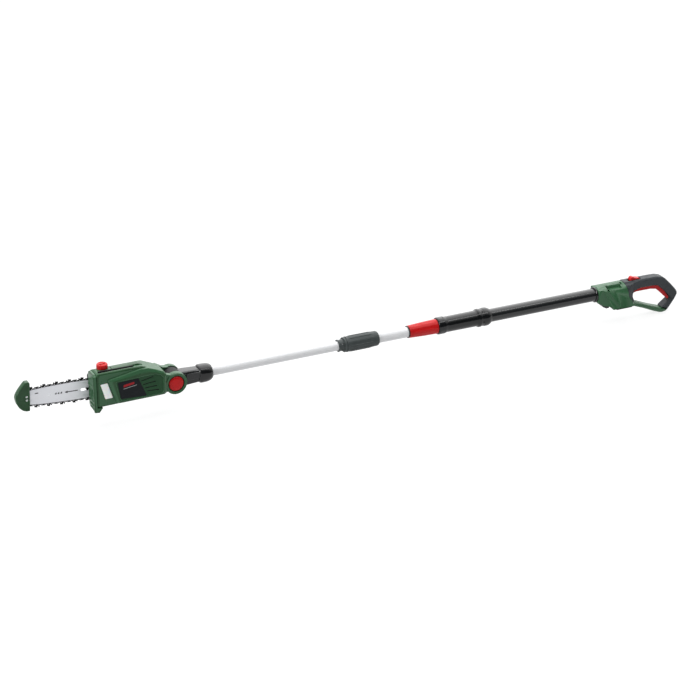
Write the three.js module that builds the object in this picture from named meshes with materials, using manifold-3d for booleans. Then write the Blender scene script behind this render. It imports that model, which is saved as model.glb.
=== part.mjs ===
// Telescoping cordless pole saw. Millimetres, +Z up, +X from the saw to the handle.
// The pole axis runs along X. Every piece is placed from that axis, and the whole
// object is moved so that the origin is the bottom centre of its bounding box.
import * as THREE from "three";
import { ConvexGeometry } from "three/addons/geometries/ConvexGeometry.js";
import { mergeVertices } from "three/addons/utils/BufferGeometryUtils.js";
import Module from "manifold-3d";

const wasm = await Module();
wasm.setup();

// ---- driving dimensions -------------------------------------------------------
const SHIFT_X = -57.4;
const AXIS_HEIGHT = 100.2;
const GAP = 0.3;

// tubes
const FRONT_TUBE_R = 13.9;
const FRONT_TUBE_BORE = 12.4;
const MIDDLE_TUBE_R = 15.7;
const MIDDLE_TUBE_BORE = 14.4;
const REAR_TUBE_R = 20.0;
const REAR_TUBE_BORE = 18.4;
const FRONT_TUBE_ENDS = [-500, 255];
const MIDDLE_TUBE_ENDS = [-14, 642];
const REAR_TUBE_ENDS = [256, 851];

// saw head
const PIVOT_X = -560;
const EAR_R = 33;
const HUB_HALF_WIDTH = 19;
const HUB_R = 30.5;
const HEAD_NEAR_Y = -36;
const HEAD_SPLIT_Y = -0.15;
const HEAD_FAR_Y = 17;
const HEAD_WALL = 3.2;
const COVER_NEAR_Y = -45.6;
const MOTOR_CENTRE = [-715, 15.5];
const MOTOR_R = 22;

// cutting gear
const SPROCKET_CENTRE = [-752, 9.4];
const NOSE_CENTRE = [-983, 19.1];
const BAR_Y = 21.5;
const BAR_THICKNESS = 4;
const BAR_GROOVE_WIDTH = 1.8;
const BAR_GROOVE_DEPTH = 8;
const NOSE_R = 19.5;
const PITCH_ABOVE_BAR = 2.6;
const SPROCKET_PITCH_R = 19;
const CHAIN_PITCH = 9.525;
const STUD_X = -781;
const STUD_Z = 10.6;
const GEAR_MODULE = 1.5;
const GEAR_TEETH = 40;
const PINION_TEETH = 10;

// ---- solids -------------------------------------------------------------------
function manifoldOf(positions, triangles) {
  const mesh = new wasm.Mesh({
    numProp: 3,
    vertProperties: new Float32Array(positions),
    triVerts: new Uint32Array(triangles),
  });
  return new wasm.Manifold(mesh);
}

function solid(geometry) {
  const flat = geometry.index ? geometry.toNonIndexed() : geometry.clone();
  const bare = new THREE.BufferGeometry();
  bare.setAttribute("position", flat.getAttribute("position"));
  const merged = mergeVertices(bare, 1e-3);
  const index = merged.index.array;
  const kept = [];
  for (let i = 0; i < index.length; i += 3) {
    const [a, b, c] = [index[i], index[i + 1], index[i + 2]];
    if (a !== b && b !== c && c !== a) kept.push(a, b, c);
  }
  const positions = merged.attributes.position.array;
  const made = manifoldOf(positions, kept);
  if (made.volume() > 0) return made;
  for (let i = 0; i < kept.length; i += 3) {
    [kept[i + 1], kept[i + 2]] = [kept[i + 2], kept[i + 1]];
  }
  return manifoldOf(positions, kept);
}

function geometryOf(body) {
  const mesh = body.getMesh();
  const positions = new Float32Array(mesh.numVert * 3);
  for (let i = 0; i < mesh.numVert; i++) {
    for (let k = 0; k < 3; k++) positions[3 * i + k] = mesh.vertProperties[i * mesh.numProp + k];
  }
  const geometry = new THREE.BufferGeometry();
  geometry.setAttribute("position", new THREE.BufferAttribute(positions, 3));
  geometry.setIndex(new THREE.BufferAttribute(new Uint32Array(mesh.triVerts), 1));
  const flat = geometry.toNonIndexed();
  flat.computeVertexNormals();
  return flat;
}

const join = (...bodies) => bodies.reduce((a, b) => a.add(b));
const cut = (body, ...tools) => tools.reduce((a, b) => a.subtract(b), body);

function box(x0, x1, y0, y1, z0, z1) {
  const geometry = new THREE.BoxGeometry(x1 - x0, y1 - y0, z1 - z0);
  return solid(geometry.translate((x0 + x1) / 2, (y0 + y1) / 2, (z0 + z1) / 2));
}

function cylinderX(r, x0, x1, y = 0, z = 0, segments = 32) {
  const geometry = new THREE.CylinderGeometry(r, r, x1 - x0, segments);
  return solid(geometry.rotateZ(-Math.PI / 2).translate((x0 + x1) / 2, y, z));
}

function cylinderY(r, y0, y1, x, z, segments = 32) {
  const geometry = new THREE.CylinderGeometry(r, r, y1 - y0, segments);
  return solid(geometry.translate(x, (y0 + y1) / 2, z));
}

function cylinderZ(r, z0, z1, x, y, segments = 32) {
  const geometry = new THREE.CylinderGeometry(r, r, z1 - z0, segments).rotateX(Math.PI / 2);
  return solid(geometry.translate(x, y, (z0 + z1) / 2));
}

// A turned piece about the pole axis; its profile is a list of [x, radius].
function turned(profile, segments = 40) {
  const points = profile.map(([x, r]) => new THREE.Vector2(r, x));
  points.push(points[0].clone());
  return solid(new THREE.LatheGeometry(points, segments).rotateZ(-Math.PI / 2));
}

const pipe = (r, bore, x0, x1, segments = 40) =>
  turned([[x0, bore], [x0, r], [x1, r], [x1, bore]], segments);

// A turned piece about a vertical line at x, y; its profile is a list of [z, radius].
function turnedZ(profile, x, y, segments = 32) {
  const points = profile.map(([z, r]) => new THREE.Vector2(r, z));
  points.push(points[0].clone());
  return solid(new THREE.LatheGeometry(points, segments).rotateX(Math.PI / 2).translate(x, y, 0));
}

// A turned piece about a line along Y at x, z; its profile is a list of [y, radius].
function turnedY(profile, x, z, segments = 32) {
  const points = profile.map(([y, r]) => new THREE.Vector2(r, y));
  points.push(points[0].clone());
  return solid(new THREE.LatheGeometry(points, segments).translate(x, 0, z));
}

// ---- outlines: lists of [u, v], made counter-clockwise --------------------------
function area(points) {
  return points.reduce((sum, [x, y], i) => {
    const [nx, ny] = points[(i + 1) % points.length];
    return sum + (x * ny - nx * y) / 2;
  }, 0);
}

const ccw = (points) => (area(points) > 0 ? points : [...points].reverse());

// Moves every edge of an outline inwards by d.
function inset(points, d) {
  const loop = ccw(points);
  const count = loop.length;
  return loop.map((p, i) => {
    const a = loop[(i + count - 1) % count];
    const b = loop[(i + 1) % count];
    const u = [p[0] - a[0], p[1] - a[1]];
    const v = [b[0] - p[0], b[1] - p[1]];
    const lu = Math.hypot(...u);
    const lv = Math.hypot(...v);
    const n = [-u[1] / lu, u[0] / lu];
    const m = [-v[1] / lv, v[0] / lv];
    const scale = d / (1 + n[0] * m[0] + n[1] * m[1]);
    return [p[0] + (n[0] + m[0]) * scale, p[1] + (n[1] + m[1]) * scale];
  });
}

// Rounds every corner of an outline with a few points.
function rounded(points, radius, steps = 2) {
  const loop = ccw(points);
  const count = loop.length;
  const made = [];
  loop.forEach((p, i) => {
    const a = loop[(i + count - 1) % count];
    const b = loop[(i + 1) % count];
    const la = Math.hypot(a[0] - p[0], a[1] - p[1]);
    const lb = Math.hypot(b[0] - p[0], b[1] - p[1]);
    const r = Math.min(radius, la * 0.45, lb * 0.45);
    const s = [p[0] + ((a[0] - p[0]) * r) / la, p[1] + ((a[1] - p[1]) * r) / la];
    const e = [p[0] + ((b[0] - p[0]) * r) / lb, p[1] + ((b[1] - p[1]) * r) / lb];
    for (let k = 0; k <= steps; k++) {
      const t = k / steps;
      const w = [(1 - t) * (1 - t), 2 * t * (1 - t), t * t];
      made.push([
        w[0] * s[0] + w[1] * p[0] + w[2] * e[0],
        w[0] * s[1] + w[1] * p[1] + w[2] * e[1],
      ]);
    }
  });
  return made;
}

function slotOutline(x0, z0, x1, z1, halfWidth) {
  const length = Math.hypot(x1 - x0, z1 - z0);
  const u = [(x1 - x0) / length, (z1 - z0) / length];
  const points = [];
  for (let k = 0; k <= 4; k++) {
    const a = Math.PI / 2 + (Math.PI * k) / 4;
    points.push([
      x0 + halfWidth * (Math.cos(a) * u[0] - Math.sin(a) * u[1]),
      z0 + halfWidth * (Math.cos(a) * u[1] + Math.sin(a) * u[0]),
    ]);
  }
  for (let k = 0; k <= 4; k++) {
    const a = -Math.PI / 2 + (Math.PI * k) / 4;
    points.push([
      x1 + halfWidth * (Math.cos(a) * u[0] - Math.sin(a) * u[1]),
      z1 + halfWidth * (Math.cos(a) * u[1] + Math.sin(a) * u[0]),
    ]);
  }
  return points;
}

function prism(points, depth, bevel) {
  const shape = new THREE.Shape(ccw(points).map(([x, y]) => new THREE.Vector2(x, y)));
  const options = { depth, bevelEnabled: false, steps: 1 };
  if (bevel) {
    options.bevelEnabled = true;
    options.bevelSize = bevel;
    options.bevelOffset = -bevel;
    options.bevelThickness = bevel;
    options.bevelSegments = bevel > 5 ? 2 : 1;
    options.depth = depth - 2 * bevel;
  }
  const geometry = new THREE.ExtrudeGeometry(shape, options);
  return bevel ? geometry.translate(0, 0, bevel) : geometry;
}

// An XZ outline through the thickness y0 to y1.
function slabY(points, y0, y1, bevel = 0) {
  return solid(prism(points, y1 - y0, bevel).rotateX(Math.PI / 2).translate(0, y1, 0));
}

// The same, with its edges rounded only at the y0 face.
function slabYNear(points, y0, y1, bevel) {
  const whole = slabY(points, y0, y1 + 4 * bevel, bevel);
  return whole.intersect(box(-2000, 2000, y0 - 1, y1, -500, 500));
}

// The hull of several XZ outlines, each at its own y.
function hullY(layers) {
  const points = layers.flatMap(([y, outline]) => outline.map(([x, z]) => new THREE.Vector3(x, y, z)));
  return solid(new ConvexGeometry(points));
}

// An XY outline from z0 to z1.
const slabZ = (points, z0, z1) => solid(prism(points, z1 - z0, 0).translate(0, 0, z0));

// A YZ outline from x0 to x1.
function slabX(points, x0, x1, bevel = 0) {
  const turn = new THREE.Matrix4().set(0, 0, 1, 0, 1, 0, 0, 0, 0, 1, 0, 0, 0, 0, 0, 1);
  return solid(prism(points, x1 - x0, bevel).applyMatrix4(turn).translate(x0, 0, 0));
}

// A round wire swept along a list of points.
function wire(points, radius, sides, steps) {
  const shape = new THREE.Shape();
  for (let k = 0; k < sides; k++) {
    const a = (2 * Math.PI * k) / sides;
    const method = k ? "lineTo" : "moveTo";
    shape[method](radius * Math.cos(a), radius * Math.sin(a));
  }
  shape.closePath();
  const path = new THREE.CatmullRomCurve3(points.map((p) => new THREE.Vector3(...p)));
  return solid(new THREE.ExtrudeGeometry(shape, { steps, extrudePath: path, bevelEnabled: false }));
}

// A coil along X, Y or Z through a centre, from a to b along its axis.
function coil(axis, centre, a, b, radius, wireRadius, turns, sides = 4, perTurn = 10) {
  const points = [];
  for (let k = 0; k <= turns * perTurn; k++) {
    const t = k / (turns * perTurn);
    const angle = 2 * Math.PI * turns * t;
    const along = a + (b - a) * t;
    const c = radius * Math.cos(angle);
    const s = radius * Math.sin(angle);
    if (axis === "x") points.push([along, centre[0] + c, centre[1] + s]);
    if (axis === "y") points.push([centre[0] + c, along, centre[1] + s]);
    if (axis === "z") points.push([centre[0] + c, centre[1] + s, along]);
  }
  return wire(points, wireRadius, sides, turns * perTurn);
}

// A screw along Y, with its head at y0 or, if far, at y1.
function screwY(y0, y1, x, z, r, headR, far = false) {
  const head = far ? y1 - 2.2 : y0;
  return join(cylinderY(r, y0, y1, x, z, 10), cylinderY(headR, head, head + 2.2, x, z, 14));
}

// ---- materials ------------------------------------------------------------------
const material = (color, roughness, metalness = 0) =>
  new THREE.MeshStandardMaterial({ color, roughness, metalness });
const GREEN = () => material(0x1f4a2c, 0.45);
const BLACK = () => material(0x16181a, 0.5);
const GREY = () => material(0x3c4042, 0.6);
const RED = () => material(0xa8141c, 0.35);
const STEEL = () => material(0xb8bcc2, 0.3, 1);
const DARK_STEEL = () => material(0x2a2a2c, 0.4, 0.9);
const ALUMINIUM = () => material(0xd8dadd, 0.3, 1);
const WHITE = () => material(0xdfe3e2, 0.3);
const RUBBER = () => material(0x101010, 0.8);

const group = new THREE.Group();
group.name = "pole_saw";
const tool = new THREE.Group();
tool.position.set(SHIFT_X, 0, AXIS_HEIGHT);
group.add(tool);

function piece(name, body, paint) {
  const mesh = new THREE.Mesh(geometryOf(body), paint);
  mesh.name = name;
  tool.add(mesh);
}

// ==== CUTTING GEAR =================================================================
// Positions along the bar are counted from the sprocket centre to the nose centre.
const barRun = [NOSE_CENTRE[0] - SPROCKET_CENTRE[0], NOSE_CENTRE[1] - SPROCKET_CENTRE[1]];
const BAR_RUN = Math.hypot(...barRun);
const along = [barRun[0] / BAR_RUN, barRun[1] / BAR_RUN];
const across = [along[1], -along[0]];

function barPoint(s, t) {
  return [
    SPROCKET_CENTRE[0] + along[0] * s + across[0] * t,
    SPROCKET_CENTRE[1] + along[1] * s + across[1] * t,
  ];
}

const BAR_WIDTHS = [
  [24, 18],
  [40, 23.5],
  [58, 26.6],
  [100, 27],
  [150, 26],
  [195, 24],
];

function noseArc(radius, steps) {
  const points = [];
  for (let k = 0; k <= steps; k++) {
    const a = (80 - (160 * k) / steps) * (Math.PI / 180);
    points.push([BAR_RUN + radius * Math.cos(a), radius * Math.sin(a)]);
  }
  return points;
}

function barLoop(offset, noseSteps) {
  const upper = BAR_WIDTHS.map(([s, w], i) => [s - (i || offset <= 0 ? 0 : offset), w + offset]);
  const lower = [...upper].reverse().map(([s, w]) => [s, -w]);
  return [...upper, ...noseArc(NOSE_R + offset, noseSteps), ...lower];
}

const barOutline = barLoop(0, 10).map(([s, t]) => barPoint(s, t));
const barCore = barLoop(-BAR_GROOVE_DEPTH, 10).map(([s, t]) => barPoint(s, t));
const halfBar = BAR_THICKNESS / 2;
const halfGroove = BAR_GROOVE_WIDTH / 2;
let bar = slabY(barOutline, BAR_Y - halfBar, BAR_Y + halfBar);
const groove = cut(
  slabY(barLoop(2, 10).map(([s, t]) => barPoint(s, t)), BAR_Y - halfGroove, BAR_Y + halfGroove),
  slabY(barCore, BAR_Y - 2 * halfGroove, BAR_Y + 2 * halfGroove),
);
const slotStart = barPoint(70, 0);
const slotEnd = barPoint(10, 0);
const barSlot = slotOutline(slotStart[0], slotStart[1], slotEnd[0], slotEnd[1], 4.2);
const GUARD_SCREWS = [
  [-984, 15.5],
  [-984, 26],
];
bar = cut(
  bar,
  groove,
  slabY(barSlot, 10, 40),
  slabY(slotOutline(-957, 28.5, -949, 28.2, 1.5), 10, 40),
  cylinderY(1.6, 10, 40, -917, 15, 12),
);
for (const [x, z] of GUARD_SCREWS) bar = cut(bar, cylinderY(2.5, 10, 40, x, z, 12));
piece("guide_bar", bar, STEEL());

// The chain's pitch line: over the bar, round the nose and round the sprocket.
const pitchLine = [...barLoop(PITCH_ABOVE_BAR, 18)];
for (let k = 0; k <= 12; k++) {
  const a = (-100 - (160 * k) / 12) * (Math.PI / 180);
  pitchLine.push([SPROCKET_PITCH_R * Math.cos(a), SPROCKET_PITCH_R * Math.sin(a)]);
}
const lengths = pitchLine.map(([s, t], i) => {
  const [ns, nt] = pitchLine[(i + 1) % pitchLine.length];
  return Math.hypot(ns - s, nt - t);
});
const CHAIN_LENGTH = lengths.reduce((a, b) => a + b, 0);
const LINKS = 2 * Math.round(CHAIN_LENGTH / CHAIN_PITCH / 2);

function chainPoint(distance) {
  let left = ((distance % CHAIN_LENGTH) + CHAIN_LENGTH) % CHAIN_LENGTH;
  let i = 0;
  while (left > lengths[i]) {
    left -= lengths[i];
    i += 1;
  }
  const [s, t] = pitchLine[i];
  const [ns, nt] = pitchLine[(i + 1) % pitchLine.length];
  const f = left / lengths[i];
  return [s + (ns - s) * f, t + (nt - t) * f];
}

const rivets = [];
for (let i = 0; i < LINKS; i++) rivets.push(chainPoint((i * CHAIN_LENGTH) / LINKS));
const P = CHAIN_LENGTH / LINKS;
const tang = [[0.6, -1.6], [P / 2, -7.4], [P - 0.6, -1.6], [P / 2, -0.4]];
const cutter = [[-2.4, 1.6], [P + 2.4, 1.6], [P + 2.2, 4.6], [P - 2.6, 3], [P - 4, 6], [-2.2, 6]];

function beside(i, a, b) {
  const [from, to] = [rivets[i], rivets[(i + 1) % LINKS]];
  const length = Math.hypot(to[0] - from[0], to[1] - from[1]);
  const u = [(to[0] - from[0]) / length, (to[1] - from[1]) / length];
  return barPoint(from[0] + u[0] * a - u[1] * b, from[1] + u[1] * a + u[0] * b);
}

// The straps form a closed band, lower between one pair of straps and the next.
const bandOuter = [];
const bandInner = [];
for (let i = 0; i < LINKS; i++) {
  if (i % 2) {
    bandOuter.push(beside(i, -0.6, 2.7), beside(i, P + 0.6, 2.7));
    bandInner.push(beside(i, 0, -2), beside(i, P, -2));
  } else {
    bandOuter.push(beside(i, P / 2, 0.9));
  }
}
let chain = cut(slabY(bandOuter, BAR_Y - 1.9, BAR_Y + 1.9), slabY(bandInner, BAR_Y - 4, BAR_Y + 4));
for (let i = 0; i < LINKS; i++) {
  const outline = (i % 2 ? cutter : tang).map(([a, b]) => beside(i, a, b));
  if (i % 2 === 0) chain = join(chain, slabY(outline, BAR_Y - 0.65, BAR_Y + 0.65));
  if (i % 8 === 1) chain = join(chain, slabY(outline, BAR_Y - 2.9, BAR_Y - 0.9));
  if (i % 8 === 5) chain = join(chain, slabY(outline, BAR_Y + 0.9, BAR_Y + 2.9));
}
piece("saw_chain", chain, DARK_STEEL());

// Tip guard: a D with a pocket that clears the bar and chain.
const GUARD_X = -976.5;
const guardOutline = [
  [GUARD_X, 66], [-980, 70], [-986, 70], [-993, 62], [-1004, 49], [-1013, 36], [-1016.6, 25],
  [-1014, 10], [-1007, -5], [-997, -14.5], [-988, -18], [GUARD_X, -18.8],
];
const guardPocket = [
  [GUARD_X + 1, 56], [-990, 54], [-1004, 44], [-1013.2, 28], [-1013, 12],
  [-1004, -5], [-992, -13], [GUARD_X + 1, -14.6],
];
let guard = slabY(guardOutline, BAR_Y - 9.5, BAR_Y + 9.5, 1.5);
guard = cut(guard, slabY(guardPocket, BAR_Y - 4.2, BAR_Y + 4.2));
const guardPanel = [
  [-981.5, 60], [-989.5, 58], [-999.5, 46], [-1008, 34], [-1011, 25], [-1008.5, 11.5],
  [-1003, -1.5], [-994.5, -9.5], [-987, -13], [-981.5, -13],
];
guard = cut(
  guard,
  slabY(guardPanel, BAR_Y - 12, BAR_Y - 8.3),
  slabY(guardPanel, BAR_Y + 8.3, BAR_Y + 12),
);
for (const [x, z] of GUARD_SCREWS) {
  guard = join(
    guard,
    cylinderY(4.6, BAR_Y - 8.5, BAR_Y - 2.3, x, z, 12),
    cylinderY(4.6, BAR_Y + 2.3, BAR_Y + 8.5, x, z, 12),
  );
}
for (const [x, z] of GUARD_SCREWS) {
  guard = cut(
    guard,
    cylinderY(2.5, BAR_Y - 12, BAR_Y + 6.5, x, z, 10),
    cylinderY(4, BAR_Y - 12, BAR_Y - 6.2, x, z, 12),
  );
}
piece("tip_guard", guard, GREEN());
GUARD_SCREWS.forEach(([x, z], i) => {
  const body = screwY(BAR_Y - 8.7, BAR_Y + 5.8, x, z, 2.1, 3.6);
  piece("guard_screw_" + (i + 1), body, STEEL());
});

// ==== SAW HEAD ====================================================================
const headOutline = [
  [-796.6, -27.5], [-588, -25], [-588, 37], [-602, 50], [-645, 69], [-660, 75], [-700, 76.5],
  [-789, 76.5], [-796.6, 70],
];
const ear = (y0, y1) =>
  join(
    cylinderY(EAR_R, y0, y1, PIVOT_X, 0, 32),
    slabY([[-620, -25], [-575, -29.4], [-560, -33], [-560, 33], [-580, 34], [-600, 36], [-620, 36]], y0, y1),
  );
const headCavity = inset(
  [
    [-796.6, -27.5], [-612, -25.4], [-612, 54], [-645, 69], [-660, 75], [-700, 76.5],
    [-790, 76.5], [-796.6, 71],
  ],
  HEAD_WALL,
);
const windowOutline = [[-785, 43], [-764.5, 44.3], [-750.5, -3], [-772.5, -3.6]];
const topPanelOutline = [
  [-747, 73.5], [-664, 73.5], [-653, 72.5], [-656, 75.6], [-667, 79], [-682, 78.8], [-694, 77.8], [-744, 77.8],
];
const hubClearance = cylinderY(HUB_R + 1.2, -19.4, 19.4, PIVOT_X, 0, 36);
const neckClearance = box(PIVOT_X, -470, -19.4, 19.4, -60, 60);
const buttonPockets = join(
  cylinderY(21, -60, -25, PIVOT_X, 0, 24),
  cylinderY(21, 25, 60, PIVOT_X, 0, 24),
  cylinderY(8.6, -60, 60, PIVOT_X, 0, 20),
);
const capHole = cylinderZ(11.6, 60, 100, -766, 0, 20);
const panelRecess = slabY(inset(topPanelOutline, -GAP), -21.3, -1.7);

let nearShell = join(
  slabYNear(headOutline, HEAD_NEAR_Y, HEAD_SPLIT_Y, 6),
  ear(-34, -19.6),
  turnedY([[-20, 8.8], [-20, 12], [-14.4, 12], [-14.4, 8.8]], PIVOT_X, 0, 28),
);
nearShell = cut(
  nearShell,
  slabY(headCavity, HEAD_NEAR_Y + HEAD_WALL, 10),
  slabY(inset(windowOutline, -GAP), -50, -20),
  cylinderY(MOTOR_R + 1.2, -50, -20, MOTOR_CENTRE[0], MOTOR_CENTRE[1], 26),
  slabY([[-669, -8], [-614, -8], [-620, 46], [-674, 40]], -50, -20),
  panelRecess,
  capHole,
  box(-789, -682, -30.5, -27.8, 68, 90),
  buttonPockets,
);
nearShell = cut(
  nearShell,
  cut(hubClearance, cylinderY(12, -30, 30, PIVOT_X, 0, 28)),
  cut(neckClearance, cylinderY(12, -30, 30, PIVOT_X, 0, 28)),
);
piece("head_shell_near", nearShell, GREEN());

// The far edge of the top slopes down, and the filler stands on a round boss.
const farSlope = slabX([[2, 76.5], [17.5, 68.75], [20, 68], [20, 90], [2, 90]], -810, -640);
const fillerBoss = cut(cylinderZ(15.2, 60, 76.5, -766, 0, 28), box(-800, -700, -40, HEAD_SPLIT_Y * -1, 0, 100));
const shaftBore = cylinderY(9.3, 0, 40, SPROCKET_CENTRE[0], SPROCKET_CENTRE[1], 28);
let farShell = join(
  cut(slabY(headOutline, -HEAD_SPLIT_Y, HEAD_FAR_Y, 0), farSlope),
  fillerBoss,
  slabY([[-660, -26], [-588, -25], [-588, 35], [-602, 44], [-625, 53], [-660, 60]], 10, 26, 3),
  ear(19.6, 34),
  slabY([[-640, -25.6], [-575, -29.4], [-560, -32], [-560, 32], [-580, 34], [-600, 46], [-640, 46]], 14, 33, 2),
  turnedY([[14.4, 8.8], [14.4, 12], [20, 12], [20, 8.8]], PIVOT_X, 0, 28),
);
farShell = cut(
  farShell,
  slabY(headCavity, -10, HEAD_FAR_Y - HEAD_WALL).intersect(box(-900, -500, -50, 50, -50, 67.5)),
  capHole,
  buttonPockets,
  shaftBore,
  cylinderY(3.8, 0, 40, STUD_X, STUD_Z, 20),
);
farShell = cut(
  farShell,
  cut(hubClearance, cylinderY(12, -30, 30, PIVOT_X, 0, 28)),
  cut(neckClearance, cylinderY(12, -30, 30, PIVOT_X, 0, 28)),
);
piece("head_shell_far", farShell, GREEN());

// Front bumper: a plate with upright ribs and a claw at the bottom.
const bumperOutline = [
  [-36, -41], [-33, -42.5], [16, -36], [16.8, -30], [16.8, 62], [12, 70], [4, 73.5],
  [-27, 74.5], [-36, 68],
];
let bumper = slabX(bumperOutline, -803.5, -797);
for (let k = 0; k < 5; k++) {
  const y = -27 + 9.6 * k;
  bumper = join(bumper, box(-806.5, -803, y - 1.6, y + 1.6, -31, 58));
}
bumper = join(bumper, box(-806.5, -803, -31, 14, 58, 61));
bumper = join(bumper, slabY([[-803, -30], [-797, -27.9], [-781, -27.8], [-792, -42.5], [-803, -41]], -35.7, -20));
bumper = cut(bumper, box(-796.9, -780, -40, 20, -27.8, 80));
piece("front_bumper", bumper, GREEN());

// Motor cover: the bulge on the near side, with the label seat and the vents.
const coverBase = [
  [-763, 52], [-760, 54.5], [-740, -18.5], [-734, -22.5], [-598, -22], [-592, -14], [-592, 38],
  [-601, 50], [-616, 61], [-632, 65.5], [-668, 64],
];
const coverFace = [
  [-748, 48], [-746, 51], [-728, -9], [-722, -15], [-604, -14.5], [-599.5, -8], [-599.5, 36],
  [-607, 46.5], [-620, 56], [-636, 59.5], [-680, 57],
];
const coverMiddle = coverBase.map(([x, z], i) => [x * 0.62 + coverFace[i][0] * 0.38, z * 0.62 + coverFace[i][1] * 0.38]);
const labelOutline = rounded([[-737, 42.5], [-676, 45.3], [-653, -13], [-730, -8.5]], 3, 1);
const vents = [
  [-666, 34.5, -632, 41],
  [-661, 22.5, -625.5, 25.3],
  [-655, 11, -621.5, 11.2],
  [-649.5, 0, -616.5, -2.2],
];
let motorCover = hullY([
  [HEAD_NEAR_Y - GAP, coverBase],
  [HEAD_NEAR_Y - GAP - 2, coverBase],
  [COVER_NEAR_Y + 2, coverMiddle],
  [COVER_NEAR_Y, coverFace],
]);
motorCover = cut(
  motorCover,
  cylinderY(MOTOR_R + 1.2, -42.8, -30, MOTOR_CENTRE[0], MOTOR_CENTRE[1], 26),
  slabY(inset(labelOutline, -GAP), -60, COVER_NEAR_Y + 0.8),
);
for (const v of vents) motorCover = cut(motorCover, slabY(slotOutline(...v, 1.3), -60, -20));
piece("motor_cover", motorCover, GREEN());
piece("label_plate", slabY(labelOutline, COVER_NEAR_Y - 0.1, COVER_NEAR_Y + 0.5), BLACK());
piece("oil_window", slabY(windowOutline, HEAD_NEAR_Y - 0.7, HEAD_NEAR_Y + HEAD_WALL - 0.3), WHITE());
piece("top_panel", slabY(topPanelOutline, -21, -2), GREEN());

// Oil tank with its filler neck, seal and cap.
const FILLER = [-766, 0];
let tank = join(
  box(-792.6, -741, -31.8, -11, -20, 66),
  box(-787, -741, -31.8, 13.2, 49, 66.5),
  cylinderZ(11, 66, 76.4, FILLER[0], FILLER[1], 20),
);
tank = cut(
  tank,
  box(-790.6, -743, -29.8, -13, -18, 64),
  box(-785, -743, -29.8, 11.2, 51, 64.5),
  cylinderZ(8.8, 60, 90, FILLER[0], FILLER[1], 24),
);
piece("oil_tank", tank, WHITE());
piece("cap_seal", turnedZ([[76.7, 8.9], [76.7, 13.4], [78.3, 13.4], [78.3, 8.9]], ...FILLER, 20), RUBBER());
let cap = turnedZ(
  [[66, 0], [66, 7.6], [78.6, 7.6], [78.6, 13.8], [76.9, 13.8], [76.9, 16.4], [88.5, 15.8], [90, 14], [89, 12], [89, 0]],
  ...FILLER, 24,
);
for (let k = 0; k < 10; k++) {
  const a = (2 * Math.PI * k) / 10;
  const rib = cylinderZ(1.3, 79.4, 88, FILLER[0] + 15.7 * Math.cos(a), FILLER[1] + 15.7 * Math.sin(a), 4);
  cap = join(cap, rib);
}
cap = join(cap, box(FILLER[0] - 10, FILLER[0] + 10, -1.6, 1.6, 88.4, 90.6));
piece("oil_cap", cap, RED());

// Motor, gears and sprocket.
function toothed(teeth, module, y0, y1, x, z, phase, bore) {
  const r = (teeth * module) / 2;
  const points = [];
  for (let k = 0; k < teeth; k++) {
    const step = (2 * Math.PI) / teeth;
    const a = k * step + phase;
    const corners = [
      [-0.3, r - 1.1 * module],
      [0, r + 0.8 * module],
      [0.3, r - 1.1 * module],
    ];
    for (const [f, q] of corners) {
      points.push([x + q * Math.cos(a + f * step), z + q * Math.sin(a + f * step)]);
    }
  }
  const wheel = slabY(points, y0, y1);
  return bore ? cut(wheel, cylinderY(bore, y0 - 1, y1 + 1, x, z, 20)) : wheel;
}

const toMotor = Math.atan2(MOTOR_CENTRE[1] - SPROCKET_CENTRE[1], MOTOR_CENTRE[0] - SPROCKET_CENTRE[0]);
const motorCan = cut(
  cylinderY(MOTOR_R, -42, -10, ...MOTOR_CENTRE, 26),
  cylinderY(MOTOR_R - 2, -40, -12, ...MOTOR_CENTRE, 20),
  cylinderY(3.5, -20, 0, ...MOTOR_CENTRE, 20),
);
piece("motor_can", motorCan, STEEL());
const rotor = join(
  cylinderY(13, -38.5, -14, ...MOTOR_CENTRE, 24),
  cylinderY(3, -39, -4, ...MOTOR_CENTRE, 16),
  toothed(PINION_TEETH, GEAR_MODULE, -7.5, 2, ...MOTOR_CENTRE, toMotor + Math.PI + Math.PI / PINION_TEETH, 0),
);
piece("motor_rotor", rotor, STEEL());
piece("drive_gear", toothed(GEAR_TEETH, GEAR_MODULE, -6, 1.5, ...SPROCKET_CENTRE, toMotor, 6.3), DARK_STEEL());
const shaft = join(
  cylinderY(6, -8.5, 27, ...SPROCKET_CENTRE, 24),
  cylinderY(7.2, 2, 7.7, ...SPROCKET_CENTRE, 24),
);
piece("sprocket_shaft", shaft, STEEL());
piece("shaft_bearing", turnedY([[8, 6.3], [8, 9], [16.4, 9], [16.4, 6.3]], ...SPROCKET_CENTRE, 22), STEEL());
const lobes = [];
for (let k = 0; k < 12; k++) {
  const a = (2 * Math.PI * k) / 12;
  const r = k % 2 ? 8.4 : 9.8;
  lobes.push([SPROCKET_CENTRE[0] + r * Math.cos(a), SPROCKET_CENTRE[1] + r * Math.sin(a)]);
}
let sprocket = join(
  cylinderY(15.6, BAR_Y - 3, BAR_Y - 1.1, ...SPROCKET_CENTRE, 22),
  cylinderY(15.6, BAR_Y + 1.1, BAR_Y + 3, ...SPROCKET_CENTRE, 22),
  slabY(lobes, BAR_Y - 2, BAR_Y + 2),
);
sprocket = cut(sprocket, cylinderY(6.3, 0, 40, ...SPROCKET_CENTRE, 24));
piece("drive_sprocket", sprocket, DARK_STEEL());

// Oil pump with its outlet to the bar.
const pump = join(
  box(-736, -712, 3.5, 13.2, -20.5, -8.4),
  cylinderX(2, -752, -735, 8.5, -17.5, 10),
);
piece("oil_pump", pump, BLACK());

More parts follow.
